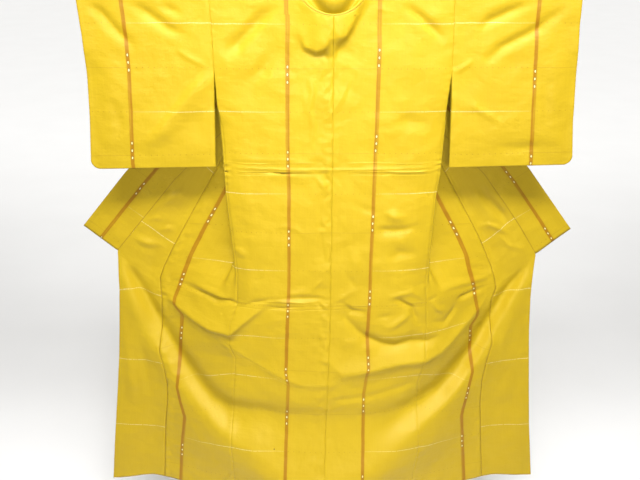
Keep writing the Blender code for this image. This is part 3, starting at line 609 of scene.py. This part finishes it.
def back_point(side, row, cloth):
    """Back panel at a row and a distance from the side seam, before its large folds, and their share."""
    sign = sign_of(side)
    outer = side_out(side, row)
    out = outer - cloth / BACK_WIDTH * (outer - sign * centre_x(row))
    x = sign * out
    share = cloth / BACK_WIDTH
    depth = -half_depth(row)
    z = -drop_of(row)
    weight = 0.0
    if row > QUARTER:
        panel = column(BACK_DEPTH, 1, row)
        power = 6 - 4.2 * smooth(.80, 1.10, row)
        depth += (panel - depth) * (1 - (1 - share) ** power)
        near = smooth(0, .10, cloth)
        weight = open_share(row) * (1 - near) + near
    if row < 0.26:
        aside = x - centre_x(row)
        across = abs(aside) / BULGE_HALF
        low = column(BULGE_EDGE, 1, aside)
        half_drop = column(BULGE_EDGE, 2, aside)
        bulge = math.exp(-1.1 * across ** 2) * smooth(low + half_drop, low - half_drop, row)
        depth -= BULGE_DEPTH * (bulge * smooth(.0, .05, row))
        hollow = math.exp(-(abs(aside) / 0.07) ** 2 - ((row - .180) / .022) ** 2)
        depth += HOLLOW_DEPTH * hollow
        edge = row - NECK_DROP * math.sqrt(max(0.0, 1 - min(1.0, across / 1.06) ** 2))
        curl = max(0.0, 1 - edge / 0.014) * max(0.0, 1 - across ** 2) * smooth(.02, .06, row)
        turn = CURL_TURN * curl
        depth += CURL_RADIUS * (1 - math.cos(turn))
        z -= CURL_RADIUS * (turn - math.sin(turn))
    return x, depth, z, weight


def edge_point(table, row):
    """Point of an edge at a row, as out, depth and z."""
    return np.array([column(table, 1, row), column(table, 2, row), -column(table, 3, row)])


def front_width(row):
    return NECK_WIDTH + (FRONT_WIDTH - NECK_WIDTH) * min(1.0, row / TIP)


def front_edge(side, row):
    """Neck and overlap edge of the front, as out, depth and z."""
    table = FRONT_EDGE[side]
    if row < QUARTER:
        neck = abs(back_point(side, 0, NECK_WIDTH)[0])
        out = neck + (table[0][1] - neck) * row / QUARTER
        return np.array([out, WRAP * math.sin(row / WRAP), WRAP * math.cos(row / WRAP)])
    return edge_point(table, row)


def front_row(side, row):
    """One row of the front from the side seam to its front edge, before its large folds."""
    sign = sign_of(side)
    outer = side_out(side, row)
    depth = half_depth(row)
    edge = front_edge(side, row)
    edge_turn = math.radians(column(EDGE_TURN, 1, row))
    side_turn = math.radians(column(SIDE_TURN, 1, row))
    hook = smooth(.27, SIDE_CLOSED, row)
    start = np.array([outer, depth])
    end = edge[:2]
    start_way = np.array([math.cos(side_turn), math.sin(side_turn)])
    end_way = np.array([math.cos(edge_turn), math.sin(edge_turn)])
    reach = 0.3 * abs(end[0] - outer)
    last = .006 + .044 * smooth(.60, .90, row)
    plain = rounded([start, start + reach * start_way, end - last * end_way, end])
    turn_x = (outer + end[0] - front_width(row)) / 2
    near = column(NEAR_LAYER, 1, row)
    far = column(FAR_LAYER, 1, row)
    side_step = 1.3 * hook - 2 * (1 - hook)
    folded = rounded([
        start,
        start + HOOK * start_way,
        [outer + HOOK * side_step, depth + hook * 2.4 * HOOK],
        [outer - .022, depth + hook * .011],
        [turn_x + .022, near],
        [turn_x - .006, near * .75 + far * .25],
        [turn_x - .006, near * .25 + far * .75],
        [min(turn_x + .022, end[0] - .004), far],
        end - .02 * end_way,
        end])
    weight = smooth(.04, .15, row) * (1 - smooth(.72, .92, row))
    shares = np.array(BODY_SHARES)
    flat = weight * along(folded, shares) + (1 - weight) * along(plain, shares)
    top = -drop_of(row)
    points = np.column_stack([sign * flat[:, 0], flat[:, 1], top + (edge[2] - top) * shares])
    return points, np.full(len(shares), open_share(row) if row > .7 else 0.0)


def body_grid(side):
    """Points, fold share, and cloth coordinates of the body from the back hem to the front hem."""
    points = []
    weights = []
    across = []
    length = []
    for row in reversed(LEVELS[1:]):
        width = back_width(row)
        spots = [back_point(side, row, width * share) for share in BODY_SHARES]
        points.append([spot[:3] for spot in spots])
        weights.append([spot[3] for spot in spots])
        across.append([width * share for share in BODY_SHARES])
        length.append([row] * len(BODY_SHARES))
    for row in LEVELS:
        spots, share_open = front_row(side, row)
        points.append(spots)
        weights.append(share_open)
        width = front_width(row)
        scale = 1 - 0.047 * min(1.0, row / TIP)
        across.append([width * scale * share for share in BODY_SHARES])
        length.append([row] * len(BODY_SHARES))
    return np.array(points), np.array(weights), np.array(across), np.array(length)


def okumi_grid(side, body):
    """Overlap panel from its tip to the hem, starting at the front's edge."""
    sign = sign_of(side)
    fronts = body[len(LEVELS) - 1:]
    points = []
    across = []
    length = []
    rows = []
    for index, row in enumerate(LEVELS):
        if row < TIP + 0.003:
            continue
        rows.append(row)
        seam = fronts[index]
        way = unit(seam[-1] - seam[-3])
        start = seam[-1]
        end = edge_point(FREE_EDGE[side], row) * (sign, 1, 1)
        reach = float(np.linalg.norm(end - start))
        level = unit(end - start)
        line = rounded([start, start + way * reach * .25, end - level * reach * .3, end])
        points.append(along(line, OKUMI_SHARES))
        across.append([reach * share for share in OKUMI_SHARES])
        length.append([column(OKUMI_LENGTH, 1, row)] * len(OKUMI_SHARES))
    shares = np.repeat([open_share(row) for row in rows], len(OKUMI_SHARES))
    return np.array(points), shares, np.array(across), np.array(length)


def collar_row(start, way, mids, end):
    """Collar from its seam to its outer edge, leaving the seam in the way of the panel."""
    line = rounded([start, start + way * 0.009] + [np.array(mid) for mid in mids] + [end])
    return along(line, COLLAR_SHARES)


def front_collar_rows(side, body, okumi):
    """Collar from its lower end up to the shoulder."""
    sign = sign_of(side)
    fronts = body[len(LEVELS) - 1:]
    first_okumi = next(index for index, row in enumerate(LEVELS) if row >= TIP + 0.003)
    rows = []
    for index, row in reversed(list(enumerate(LEVELS))):
        if row > COLLAR_END + 0.001:
            continue
        panel = fronts[index] if index < first_okumi else okumi[index - first_okumi]
        way = unit(panel[-1] - panel[-3])
        start = panel[-1]
        end = edge_point(COLLAR_EDGE[side], row) * (sign, 1, 1)
        middle = (start + end) / 2 + np.array([0, .010 * smooth(TIP, .05, row), 0])
        rows.append(collar_row(start, way, [middle], end))
    return rows


def neck_collar_rows(side, body):
    """Collar from the shoulder to the centre of the back of the neck."""
    sign = sign_of(side)
    shoulder = abs(back_point(side, 0, NECK_WIDTH)[0] - centre_x(0))
    rows = []
    for index, row in enumerate(LEVELS):
        if row < 0.001 or row > NECK_DROP + 0.0001:
            continue
        width = back_width(row)
        start = body[len(LEVELS) - 1 - index][-1]
        slope = row / NECK_DROP
        inside = (width - 0.002 * math.sqrt(max(0.0, 1 - slope ** 2)), row + 0.002 * slope)
        way = unit(np.array(back_point(side, row, width)[:3])
                   - np.array(back_point(side, inside[1], inside[0])[:3]))
        share = abs(start[0] - centre_x(row)) / shoulder
        places = []
        for slot in range(1, 5):
            spots = [entry[slot] for entry in NECK_BAND]
            steps = [entry[0] for entry in NECK_BAND]
            out, depth, z = [float(np.interp(share, steps, [spot[axis] for spot in spots]))
                             for axis in range(3)]
            places.append([centre_x(0) + sign * out * shoulder, depth, z])
        rows.append(collar_row(start, way, places[:-1], np.array(places[-1])))
    return rows


def sleeve_grid(side):
    """One length folded over the rod, from the back foot to the front foot."""
    sign = sign_of(side)
    inner_foot, outer_foot = FOOT[side]
    points = []
    across = []
    length = []
    stations = [(row, -1) for row in reversed(SLEEVE_LEVELS[1:])] + [(row, 1) for row in SLEEVE_LEVELS]
    for row, face in stations:
        start = side_out(side, min(row, ARMHOLE)) + column(SLEEVE_INNER, 1, row)
        line = []
        for share in SLEEVE_SHARES:
            z = -drop_of(row)
            low = inner_foot + (outer_foot - inner_foot) * share
            if row >= QUARTER:
                z *= 1 + (low / (SLEEVE_FOOT - QUARTER) - 1) * smooth(.2, SLEEVE_FOOT, row)
            end = column(CUFF[side], 1, max(0.0, -z))
            out = start + share * (end - start)
            side_way = (out - end + SLEEVE_CORNER) / SLEEVE_CORNER
            down = (-z - low + SLEEVE_CORNER) / SLEEVE_CORNER
            if side_way > 0 and down > 0:
                squeeze = max(side_way, down) / math.hypot(side_way, down)
                out = end - SLEEVE_CORNER + side_way * squeeze * SLEEVE_CORNER
                z = -(low - SLEEVE_CORNER + down * squeeze * SLEEVE_CORNER)
            if row < QUARTER:
                depth = half_depth(row)
            else:
                depth = column(SLEEVE_DEPTH, 1, row)
                sewn = smooth(.15, .26, row) * smooth(.80, 1, share)
                depth += (0.0006 - depth) * sewn
            line.append([sign * out, face * depth, z])
        points.append(line)
        across.append([SLEEVE_WIDTH * share for share in SLEEVE_SHARES])
        length.append([row - 0.005] * len(SLEEVE_SHARES))
    return np.array(points), np.array(across), np.array(length)


def closeness(distance, width):
    """1 on a line, falling off to both sides over about this width."""
    return np.exp(-(distance / width) ** 2)


def undulate(points, size, amount, seed):
    """Soft uneven hang of the silk, in metres."""
    offset = Vector((seed * 7.3, seed * 3.1, seed * 1.7))
    values = [noise.noise(Vector(point) / size + offset) for point in points]
    return np.array(values) * amount


def puckers(points, run, pitch, height, seed):
    """Ripples along a seam at this pitch, made uneven."""
    return height * np.sin(run * 2 * math.pi / pitch + 5 * undulate(points, 0.05, 1.0, seed))


def placed(pixels):
    """World x and z of a path on the hanging cloth."""
    spots = [at_cloth(px, py) for px, py in pixels]
    return [spot[0] for spot in spots], [spot[1] for spot in spots]


def lip_height(x):
    """Height of the edge of the overlapping fold at a distance from the middle."""
    return np.interp(x, *placed(LIP))


def taken_up(x, z, above, below):
    """Cloth length at a height: a jump across the edge of the overlapping fold."""
    passed = ease(-0.006, 0.008, lip_height(x) - z)
    return -z + (1 - passed) * np.interp(-z, *zip(*above)) + passed * np.interp(-z, *zip(*below))


def stripe_share(pixels, z, start, end):
    """Where the stripe crosses each row, from 0 at one edge to 1 at the other."""
    xs, zs = placed(pixels)
    order = np.argsort(zs)
    x = np.interp(z, np.array(zs)[order], np.array(xs)[order])
    return np.clip((x - start) / (end - start), 0.05, 0.95)


def relief(flat, share, small):
    """Depth of the large folds, a list of small ones and the uneven hang, toward the camera."""
    folds = large_folds() + small_folds(small)
    toward = fold_depth(flat[:, 0], flat[:, 2], folds) * share
    for row in BODY_HANG:
        toward = toward + undulate(flat, *row)
    return toward


def drape_body(side):
    """Body grid with large folds, small folds, seams and puckers."""
    grid, weights, across, length = body_grid(side)
    rows, columns = across.shape
    top = len(LEVELS) - 1
    flat = grid.reshape(-1, 3).copy()
    share = weights.reshape(-1)
    x = flat[:, 0]
    z = flat[:, 2].copy()
    back = np.repeat(np.arange(rows) < top, columns)
    hanging = ease(0.02, 0.06, -z)
    edge_x = np.repeat(grid[:, -1, 0], columns)
    side_x = np.repeat(grid[:, 0, 0], columns)

    reach = stripe_share(BACK_STRIPE[side], z, side_x, edge_x)
    reach_front = stripe_share(FRONT_STRIPE[side], z, side_x, edge_x)
    flat_share = STRIPE_FRONT / FRONT_WIDTH
    reach = np.where(back, reach, flat_share + (reach_front - flat_share) * share)
    width = np.repeat(across[:, -1], columns)
    stripe_at = np.where(width > 0.9 * BACK_WIDTH, STRIPE_BACK, width * STRIPE_BACK / BACK_WIDTH)
    stripe_at = np.where(back, stripe_at, STRIPE_BACK)
    part = across.reshape(-1) / width
    beyond = np.where(back, width, width * 0.965) - stripe_at
    u = np.where(part < reach, part / reach * stripe_at, stripe_at + (part - reach) / (1 - reach) * beyond)
    early = np.repeat(np.array(LEVELS)[np.abs(np.arange(rows) - top)] < NECK_DROP, columns)
    u = np.where(early, across.reshape(-1), u)

    toward = relief(flat, share, FRONT_FOLDS) * ~back + relief(flat, share, LOW_FOLDS) * back
    toward += fold_depth(x, z, small_folds(BACK_FOLDS, -0.03)) * back
    toward *= hanging
    seam_run = across.reshape(-1)
    gap = width - seam_run
    uneven = 0.5 + undulate(flat, 0.07, 1.2, 8)
    toward += puckers(flat, -z, *BODY_PUCKERS) * closeness(seam_run, 0.013) * uneven * hanging
    crumpled = sum(undulate(flat, *row) for row in CRUMPLES)
    toward += crumpled * closeness(gap, 0.042) * (0.8 if side == "left" else 0.35) * hanging
    closed = np.where(-z > SIDE_CLOSED - QUARTER, 1.0, 0.0)
    toward += (closeness(seam_run - 0.007, 0.004) * 0.0004 * closed
               + closeness(gap - 0.007, 0.004) * 0.0002) * hanging
    groove = (closeness(seam_run, GROOVE) * 0.0009 * closed
              + closeness(gap, GROOVE) * np.where(back, 0.0005, 0.0014)) * hanging
    flat[:, 1] += groove - toward

    run = taken_up(x, z, UP_ABOVE, UP_BELOW)
    edge_run = np.interp(-z, *zip(*UP_EDGE)) - z
    front_part = np.where(back, 0.0, part)
    run = run * (1 - front_part) + edge_run * front_part
    run = np.where(early, length.reshape(-1), run) * np.where(back, 1, -1)
    return grid, (flat.reshape(grid.shape), u.reshape(rows, columns), run.reshape(rows, columns))


def drape_okumi(side, base):
    """Overlap panel with the folds it shares with the front, and its own where it is spread out."""
    grid, share, across, length = okumi_grid(side, base)
    flat = grid.reshape(-1, 3).copy()
    z = flat[:, 2].copy()
    u = across.reshape(-1)
    gap = np.repeat(across[:, -1], across.shape[1]) - u
    toward = relief(flat, share, FRONT_FOLDS)
    hung = np.repeat(ease(-1.02, -0.86, np.min(grid[:, :, 2], axis=1)), across.shape[1])
    spread = fold_depth(flat[:, 0], flat[:, 2], small_folds(SPREAD_FOLDS, 0.09))
    spread += undulate(flat, *SPREAD_HANG)
    toward += spread * hung * np.clip(np.minimum(u, gap) / 0.022, 0, 1)
    toward += puckers(flat, -z, *OKUMI_PUCKERS) * closeness(u - 0.009, 0.005)
    toward += 0.0005 * closeness(gap - 0.010, 0.003)
    flat[:, 1] += closeness(u, GROOVE) * 0.0015 - toward

    # Weft lines stay nearly level where the panel's rows sag below the line between its edges
    xs = grid[:, :, 0]
    zs = grid[:, :, 2]
    span = xs[:, -1:] - xs[:, :1]
    along_chord = (xs - xs[:, :1]) / np.where(np.abs(span) < 0.004, 0.004, span)
    chord = zs[:, :1] + (zs[:, -1:] - zs[:, :1]) * np.clip(along_chord, 0, 1)
    length = length - (zs - chord) * 0.55
    level = np.interp(-z, *zip(*OKUMI_RUN))
    length = length.reshape(-1) * hung + level * (1 - hung)
    return flat.reshape(grid.shape), across, length.reshape(across.shape)


def drape_collar(left, right):
    """One band from the lower left end round the neck to the lower right end."""
    rows = front_collar_rows("left", *left) + neck_collar_rows("left", left[0])
    rows += neck_collar_rows("right", right[0])[-2::-1] + front_collar_rows("right", *right)[::-1]
    grid = np.array(rows)
    middle = grid[:, len(COLLAR_SHARES) // 2]
    steps = np.linalg.norm(np.diff(middle, axis=0), axis=1)
    run = np.concatenate([[0], np.cumsum(steps)])
    run -= run[len(run) // 2]
    across = np.array([[share * COLLAR_WIDTH for share in COLLAR_SHARES]] * len(rows))
    length = np.repeat(run, len(COLLAR_SHARES)).reshape(across.shape)
    flat = grid.reshape(-1, 3).copy()
    share = np.tile(COLLAR_SHARES, len(rows))
    hanging = ease(0.10, 0.30, np.abs(length.reshape(-1)))
    soft = sum(undulate(flat, *row) for row in COLLAR_HANG)
    flat[:, 1] -= soft * hanging
    flat[:, 1] -= closeness((1 - share) * COLLAR_WIDTH - 0.004, 0.004) * 0.0008 * hanging
    return flat.reshape(grid.shape), across, length


def drape_sleeve(side):
    """Sleeve with its folds, smooth round the rod and along its foot."""
    grid, across, length = sleeve_grid(side)
    rows, columns = across.shape
    flat = grid.reshape(-1, 3).copy()
    x = flat[:, 0]
    z = flat[:, 2]
    u = across.reshape(-1)
    back = np.repeat(np.arange(rows) < len(SLEEVE_LEVELS) - 1, columns)
    free = ease(0.01, 0.05, -z) * ease(0, 0.05, 0.472 + z + 0.012)
    cuff = ease(0.33, 0.30, u)
    toward = fold_depth(x, z, small_folds(SLEEVE_FOLDS, -0.012)) * np.where(back, 1.0, 0.7) * cuff
    toward = np.where(back, toward, -toward)
    toward += sum(undulate(flat, *row) for row in SLEEVE_HANG)
    toward += puckers(flat, length.reshape(-1), *SLEEVE_PUCKERS) * closeness(u, 0.010)
    flat[:, 1] -= toward * free
    way = np.where(back, 1.0, -1.0)
    seam = closeness(u, 0.0026) * 0.0012 * ease(0.01, 0.04, -z)
    roll = closeness(u - 0.335, 0.004) * 0.0006
    flat[:, 1] += (seam - roll) * way
    return flat.reshape(rows, columns, 3), across, length


class Value:
    """Output of a shader node. Sums, differences and products of it are nodes too."""

    def __init__(self, tree, socket):
        self.tree = tree
        self.socket = socket

    def __add__(self, other):
        return maths("ADD", self, other)

    def __sub__(self, other):
        return maths("SUBTRACT", self, other)

    def __mul__(self, other):
        return maths("MULTIPLY", self, other)

    def __abs__(self):
        return maths("ABSOLUTE", self)


def node(tree, kind, **settings):
    made = tree.nodes.new(kind)
    for name, value in settings.items():
        setattr(made, name, value)
    return made


def wire(source, target):
    """Joins a value to an input, or sets the input to a number or a colour."""
    if isinstance(source, Value):
        source.tree.links.new(source.socket, target)
    elif isinstance(source, tuple):
        target.default_value = (*source, 1)
    else:
        target.default_value = source


def maths(operation, *values):
    tree = next(value.tree for value in values if isinstance(value, Value))
    made = node(tree, "ShaderNodeMath", operation=operation)
    for value, target in zip(values, made.inputs):
        wire(value, target)
    return Value(tree, made.outputs[0])


def step(value, low, high):
    """Eased 0 to 1 between low and high, or 1 to 0 where low is above high."""
    made = node(value.tree, "ShaderNodeMapRange", interpolation_type="SMOOTHSTEP")
    wire(value, made.inputs["Value"])
    swap = low > high
    wire(min(low, high), made.inputs["From Min"])
    wire(max(low, high), made.inputs["From Max"])
    wire(1 if swap else 0, made.inputs["To Min"])
    wire(0 if swap else 1, made.inputs["To Max"])
    return Value(value.tree, made.outputs["Result"])


def blend(share, first, second):
    """Mix of two colours, each a value or a colour."""
    made = node(share.tree, "ShaderNodeMix", data_type="RGBA")
    for value, target in ((share, made.inputs["Factor"]), (first, made.inputs[6]), (second, made.inputs[7])):
        wire(value, target)
    return Value(share.tree, made.outputs[2])


def grain(place, scale, detail=2.0, stretch=(1, 1, 1)):
    """Noise around 0.5 on the cloth, with its pattern stretched."""
    mapping = node(place.tree, "ShaderNodeMapping")
    wire(place, mapping.inputs["Vector"])
    mapping.inputs["Scale"].default_value = stretch
    made = node(place.tree, "ShaderNodeTexNoise")
    wire(scale, made.inputs["Scale"])
    wire(detail, made.inputs["Detail"])
    place.tree.links.new(mapping.outputs[0], made.inputs["Vector"])
    return Value(place.tree, made.outputs["Fac"])


def repeat(value, size):
    """Distance from the nearest of a row of places this far apart, with its sign."""
    return maths("WRAP", value, size / 2, -size / 2)


def distance(first, second):
    """Length of the line across and along."""
    return maths("SQRT", first * first + second * second)


def bump(height, strength, depth, below=None):
    """Relief on the surface, over another relief where one is given."""
    made = node(height.tree, "ShaderNodeBump")
    wire(strength, made.inputs["Strength"])
    wire(depth, made.inputs["Distance"])
    wire(height, made.inputs["Height"])
    if below:
        wire(below, made.inputs["Normal"])
    return Value(height.tree, made.outputs["Normal"])


def new_material(name):
    """Material with the inputs of its shader, and its node tree."""
    material = bpy.data.materials.new(name)
    material.use_nodes = True
    return material, material.node_tree.nodes["Principled BSDF"].inputs, material.node_tree


def striped(place, colour, u, v, stripe, lines, groups_at, front_groups, bare):
    """Woven stripe with its white dots, pale and dark weft lines, and rows of dark dots."""
    off = u - stripe
    away = abs(off)
    woven = step(abs(v), bare - BARE_EDGE, bare)
    band = step(away, STRIPE_HALF + 0.0012, STRIPE_HALF - 0.0008) * woven
    fringe = step(away, STRIPE_HALF + 0.005, STRIPE_HALF) * woven * 0.35
    colour = blend(fringe, colour, STRIPE_SOFT)
    uneven = grain(place, 120, 2, (1, 0.03, 1))
    colour = blend(band * step(uneven, 0.05, 0.55), colour, STRIPE)

    wide = step(off, -STRIPE_HALF, -STRIPE_HALF - 0.004)
    narrow = maths("SUBTRACT", 1, maths("MAXIMUM", wide, band))
    level, other, line, broken = lines
    share = maths("MULTIPLY_ADD", step(away, 0.0, 0.16), 0.45, 0.15)
    colour = blend(line * wide * broken * share, colour, PALE_LINE)
    colour = blend(step(abs(other), *DARK_LINE_EDGE) * narrow * 0.3, colour, DARK_DOT_AND_SEAM_SHADE)
    pitch = repeat(u, DOT_PITCH)
    for height, part, strength in ((other, wide, 0.75), (level, narrow, 0.6)):
        dot = step(distance(pitch, height), *DARK_DOT_EDGE)
        colour = blend(dot * part * strength, colour, DARK_DOT_AND_SEAM_SHADE)

    group = abs(repeat(v - groups_at, REPEAT))
    if front_groups:
        group = group + maths("LESS_THAN", v, 0)
    for front in front_groups:
        group = maths("MINIMUM", group, abs(v + front))
    single = repeat(group, GROUP_PITCH)
    inside = step(abs(group), GROUP_PITCH * 1.5, GROUP_PITCH * 1.5 - 0.0008) * woven
    reach = distance(off, single * 0.5)
    colour = blend(step(reach, *RIM_EDGE) * inside * 0.85, colour, RIM)
    return blend(step(reach, *WHITE_DOT_EDGE) * inside, colour, DOT_WHITE)


def silk(name, stripe, lines_at, groups_at=0, front_groups=(), pressed=(), stain=None, bare=0.0,
         painted_seam_shade=False):
    """Woven silk: stripe is its distance from the first seam, or None on plain cloth.

    Beyond the stripe the weft lines are pale. Cloth nearer than bare to the middle of its length has no
    stripe.
    """
    material, surface, tree = new_material(name)
    place = Value(tree, node(tree, "ShaderNodeUVMap", uv_map="cloth").outputs["UV"])
    split = node(tree, "ShaderNodeSeparateXYZ")
    wire(place, split.inputs[0])
    wander = (grain(place, 30) - 0.5) * WANDER
    across = Value(tree, split.outputs[0])
    u = across + wander
    v = Value(tree, split.outputs[1]) + wander

    colour = blend(grain(place, CLOUDS, 3), SILK_DEEP, SILK_PALE)
    threads = grain(place, THREADS, 2, DOWN)
    colour = blend(step(threads, 0.35, 0.75) * 0.22, colour, SILK_THREAD)
    slubs = grain(place, SLUBS, 2, OVER)
    colour = blend(step(slubs, 0.56, 0.74) * 0.25, colour, SILK_PALE)

    level = repeat(abs(v) - lines_at, REPEAT)
    other = repeat(abs(v) - (lines_at + REPEAT / 2), REPEAT)
    broken = step(grain(place, 300, 2, (1, 0.2, 1)), 0.30, 0.52)
    line = step(abs(level), *LINE_EDGE)
    if stripe is None:
        colour = blend(line * broken * 0.55, colour, PALE_LINE)
    else:
        lines = (level, other, line, broken)
        colour = striped(place, colour, u, v, stripe, lines, groups_at, front_groups, bare)
    # Painted shade: a dark band along the first seam stands in for the shadow in the seam's crease
    if painted_seam_shade:
        colour = blend(step(across, *SEAM_SHADE_EDGE) * 0.6, colour, DARK_DOT_AND_SEAM_SHADE)
    if stain:
        reach = distance(u - stain[0], v - stain[1])
        colour = blend(step(reach, *STAIN_EDGE) * 0.8, colour, STAIN)
    wire(colour, surface["Base Color"])
    wire(maths("MULTIPLY_ADD", grain(place, 45, 3), 0.16, 0.41), surface["Roughness"])
    wire(SPECULAR, surface["Specular IOR Level"])
    wire(SILK_GLOSS, surface["Specular Tint"])

    weave = grain(place, WEAVE, 1, (1, 0.25, 1)) + grain(place, WEAVE, 1, (0.25, 1, 1))
    crushed = grain(place, CRUSHED, 5, (0.7, 1, 1)) + slubs * 0.08
    crushed = maths("MULTIPLY_ADD", grain(place, CRUSHED_WIDE, 4), 0.8, crushed)
    slow = (grain(place, 8) - 0.5) * 0.012
    for at, height in pressed:
        crease = step(abs(v + slow - at), *CREASE_EDGE) * step(grain(place, 11), 0.32, 0.6)
        crushed = maths("MULTIPLY_ADD", crease, height / 5, crushed)
    wire(bump(crushed, 0.45, 0.006, bump(weave, 0.25, 0.0004)), surface["Normal"])
    return material


def lacquered_wood(name):
    material, surface, tree = new_material(name)
    place = Value(tree, node(tree, "ShaderNodeTexCoord").outputs["Object"])
    rings = grain(place, 60, 5, (0.06, 1, 1))
    pores = grain(place, 420, 3, (0.04, 1, 1))
    colour = blend(rings, WOOD_DARK, WOOD_PALE)
    colour = blend(step(pores, 0.55, 0.75) * 0.5, colour, WOOD_PORE)
    wire(colour, surface["Base Color"])
    wire(maths("MULTIPLY_ADD", pores, 0.2, 0.28), surface["Roughness"])
    wire(bump(rings, 0.2, 0.0004), surface["Normal"])
    return material


def add_object(name, data):
    made = bpy.data.objects.new(name, data)
    bpy.context.scene.collection.objects.link(made)
    return made


def finished(work, mesh):
    """Turns the faces outward and puts them in the mesh."""
    bmesh.ops.recalc_face_normals(work, faces=work.faces)
    work.to_mesh(mesh)
    work.free()
    mesh.shade_smooth()


def sheet(name, points, across, length, material):
    """Thin shell of cloth from rows of points, with its cut lengths as coordinates."""
    rows, columns = across.shape
    faces = []
    for row in range(rows - 1):
        for place in range(columns - 1):
            first = row * columns + place
            faces.append((first, first + 1, first + columns + 1, first + columns))
    mesh = bpy.data.meshes.new(name)
    mesh.from_pydata([tuple(point) for point in points.reshape(-1, 3)], [], faces)
    layer = mesh.uv_layers.new(name="cloth")
    corners = np.empty(len(mesh.loops), dtype=np.int32)
    mesh.loops.foreach_get("vertex_index", corners)
    spots = np.column_stack([across.reshape(-1), length.reshape(-1)])[corners]
    layer.data.foreach_set("uv", spots.reshape(-1).astype(np.float32))
    work = bmesh.new()
    work.from_mesh(mesh)
    finished(work, mesh)
    mesh.materials.append(material)
    made = add_object(name, mesh)
    thick = made.modifiers.new("thickness", "SOLIDIFY")
    thick.thickness = SILK_THICK
    thick.offset = 0
    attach(made, "root")
    return made


def rod():
    """Smooth round rod with eased ends."""
    profile = [(0, ROD_HALF)]
    for turn in range(0, 91, 15):
        angle = math.radians(90 - turn)
        profile.append((ROD_RADIUS - ROD_CHAMFER + ROD_CHAMFER * math.cos(angle),
                        ROD_HALF - ROD_CHAMFER + ROD_CHAMFER * math.sin(angle)))
    profile += [(radius, -x) for radius, x in reversed(profile)]
    turns = [math.radians(360 / ROD_SIDES * turn) for turn in range(ROD_SIDES)]
    work = bmesh.new()
    rings = []
    for radius, x in profile:
        spots = [(x, radius * math.cos(turn), radius * math.sin(turn)) for turn in turns]
        rings.append([work.verts.new(spot) for spot in (spots if radius else spots[:1])])
    for first, second in zip(rings[:-1], rings[1:]):
        for index in range(ROD_SIDES):
            after = (index + 1) % ROD_SIDES
            if len(first) == 1:
                work.faces.new((first[0], second[index], second[after]))
            elif len(second) == 1:
                work.faces.new((first[index], first[after], second[0]))
            else:
                work.faces.new((first[index], first[after], second[after], second[index]))
    mesh = bpy.data.meshes.new("rod")
    finished(work, mesh)
    mesh.materials.append(lacquered_wood("rod_wood"))
    made = add_object("rod", mesh)
    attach(made, "root")
    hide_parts("hanging_rod")


def light(name, place, target, width, height, power, spread):
    """Soft box. Its height is small, so that folds lying across the cloth keep their shadows."""
    lamp = bpy.data.lights.new(name, "AREA")
    lamp.shape = "RECTANGLE"
    lamp.size = width
    lamp.size_y = height
    lamp.spread = math.radians(spread)
    lamp.energy = power
    made = add_object(name, lamp)
    made.location = place
    made.rotation_euler = (Vector(target) - Vector(place)).to_track_quat("-Z", "Y").to_euler()


def studio():
    """Floor, lights and the camera of the photograph."""
    mesh = bpy.data.meshes.new("floor")
    corners = [(x * FLOOR_HALF, y * FLOOR_HALF, FLOOR) for x, y in ((-1, -1), (1, -1), (1, 1), (-1, 1))]
    mesh.from_pydata(corners, [], [(0, 1, 2, 3)])
    material, surface, tree = new_material("floor_paint")
    place = Value(tree, node(tree, "ShaderNodeTexCoord").outputs["Object"])
    wire(blend(grain(place, 3, 3), FLOOR_DARK, FLOOR_PALE), surface["Base Color"])
    wire(0.45, surface["Roughness"])
    mesh.materials.append(material)
    add_object("floor", mesh)

    world = bpy.data.worlds.new("studio")
    world.use_nodes = True
    background = world.node_tree.nodes["Background"].inputs
    wire(WORLD_COLOUR, background["Color"])
    wire(WORLD_LIGHT, background["Strength"])
    bpy.context.scene.world = world
    for row in LIGHTS:
        light(*row)
    bpy.context.scene.view_settings.view_transform = "Standard"

    lens = bpy.data.cameras.new("camera")
    lens.sensor_width = SENSOR
    lens.lens = CAMERA_FOCUS / PHOTO_WIDTH * SENSOR
    camera = add_object("camera", lens)
    camera.location = tuple(CAMERA_AT)
    camera.rotation_euler = (math.pi / 2 - CAMERA_TILT, 0, 0)
    bpy.context.scene.camera = camera


bodies = {}
overlaps = {}
for side in ("left", "right"):
    base, bodies[side] = drape_body(side)
    overlaps[side] = drape_okumi(side, base)
collar = drape_collar(*[(bodies[side][0], overlaps[side][0]) for side in ("left", "right")])

for side in ("left", "right"):
    cloth = silk("silk_body_" + side, STRIPE_BACK, LINES_AT, GROUPS_AT[side], FRONT_GROUPS_AT[side],
                 PRESSED, STAIN_AT if side == "left" else None)
    piece = sheet("body_" + side + "_silk", *bodies[side], cloth)
    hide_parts("body_" + side)

    cloth = silk("silk_overlap_" + side, None, OKUMI_LINES_AT, painted_seam_shade=True)
    piece = sheet("okumi_" + side + "_silk", *overlaps[side], cloth)
    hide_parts("okumi_" + side)
    "body_" + side + "_silk"

    cloth = silk("silk_sleeve_" + side, STRIPE_SLEEVE, SLEEVE_LINES_AT, SLEEVE_GROUPS_AT[side])
    piece = sheet("sleeve_" + side + "_silk", *drape_sleeve(side), cloth)
    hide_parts("sleeve_" + side)

cloth = silk("silk_collar", STRIPE_COLLAR, COLLAR_LINES_AT, COLLAR_GROUPS_AT, bare=COLLAR_BARE, painted_seam_shade=True)
piece = sheet("collar_silk", *collar, cloth)
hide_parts("collar")
rod()
studio()
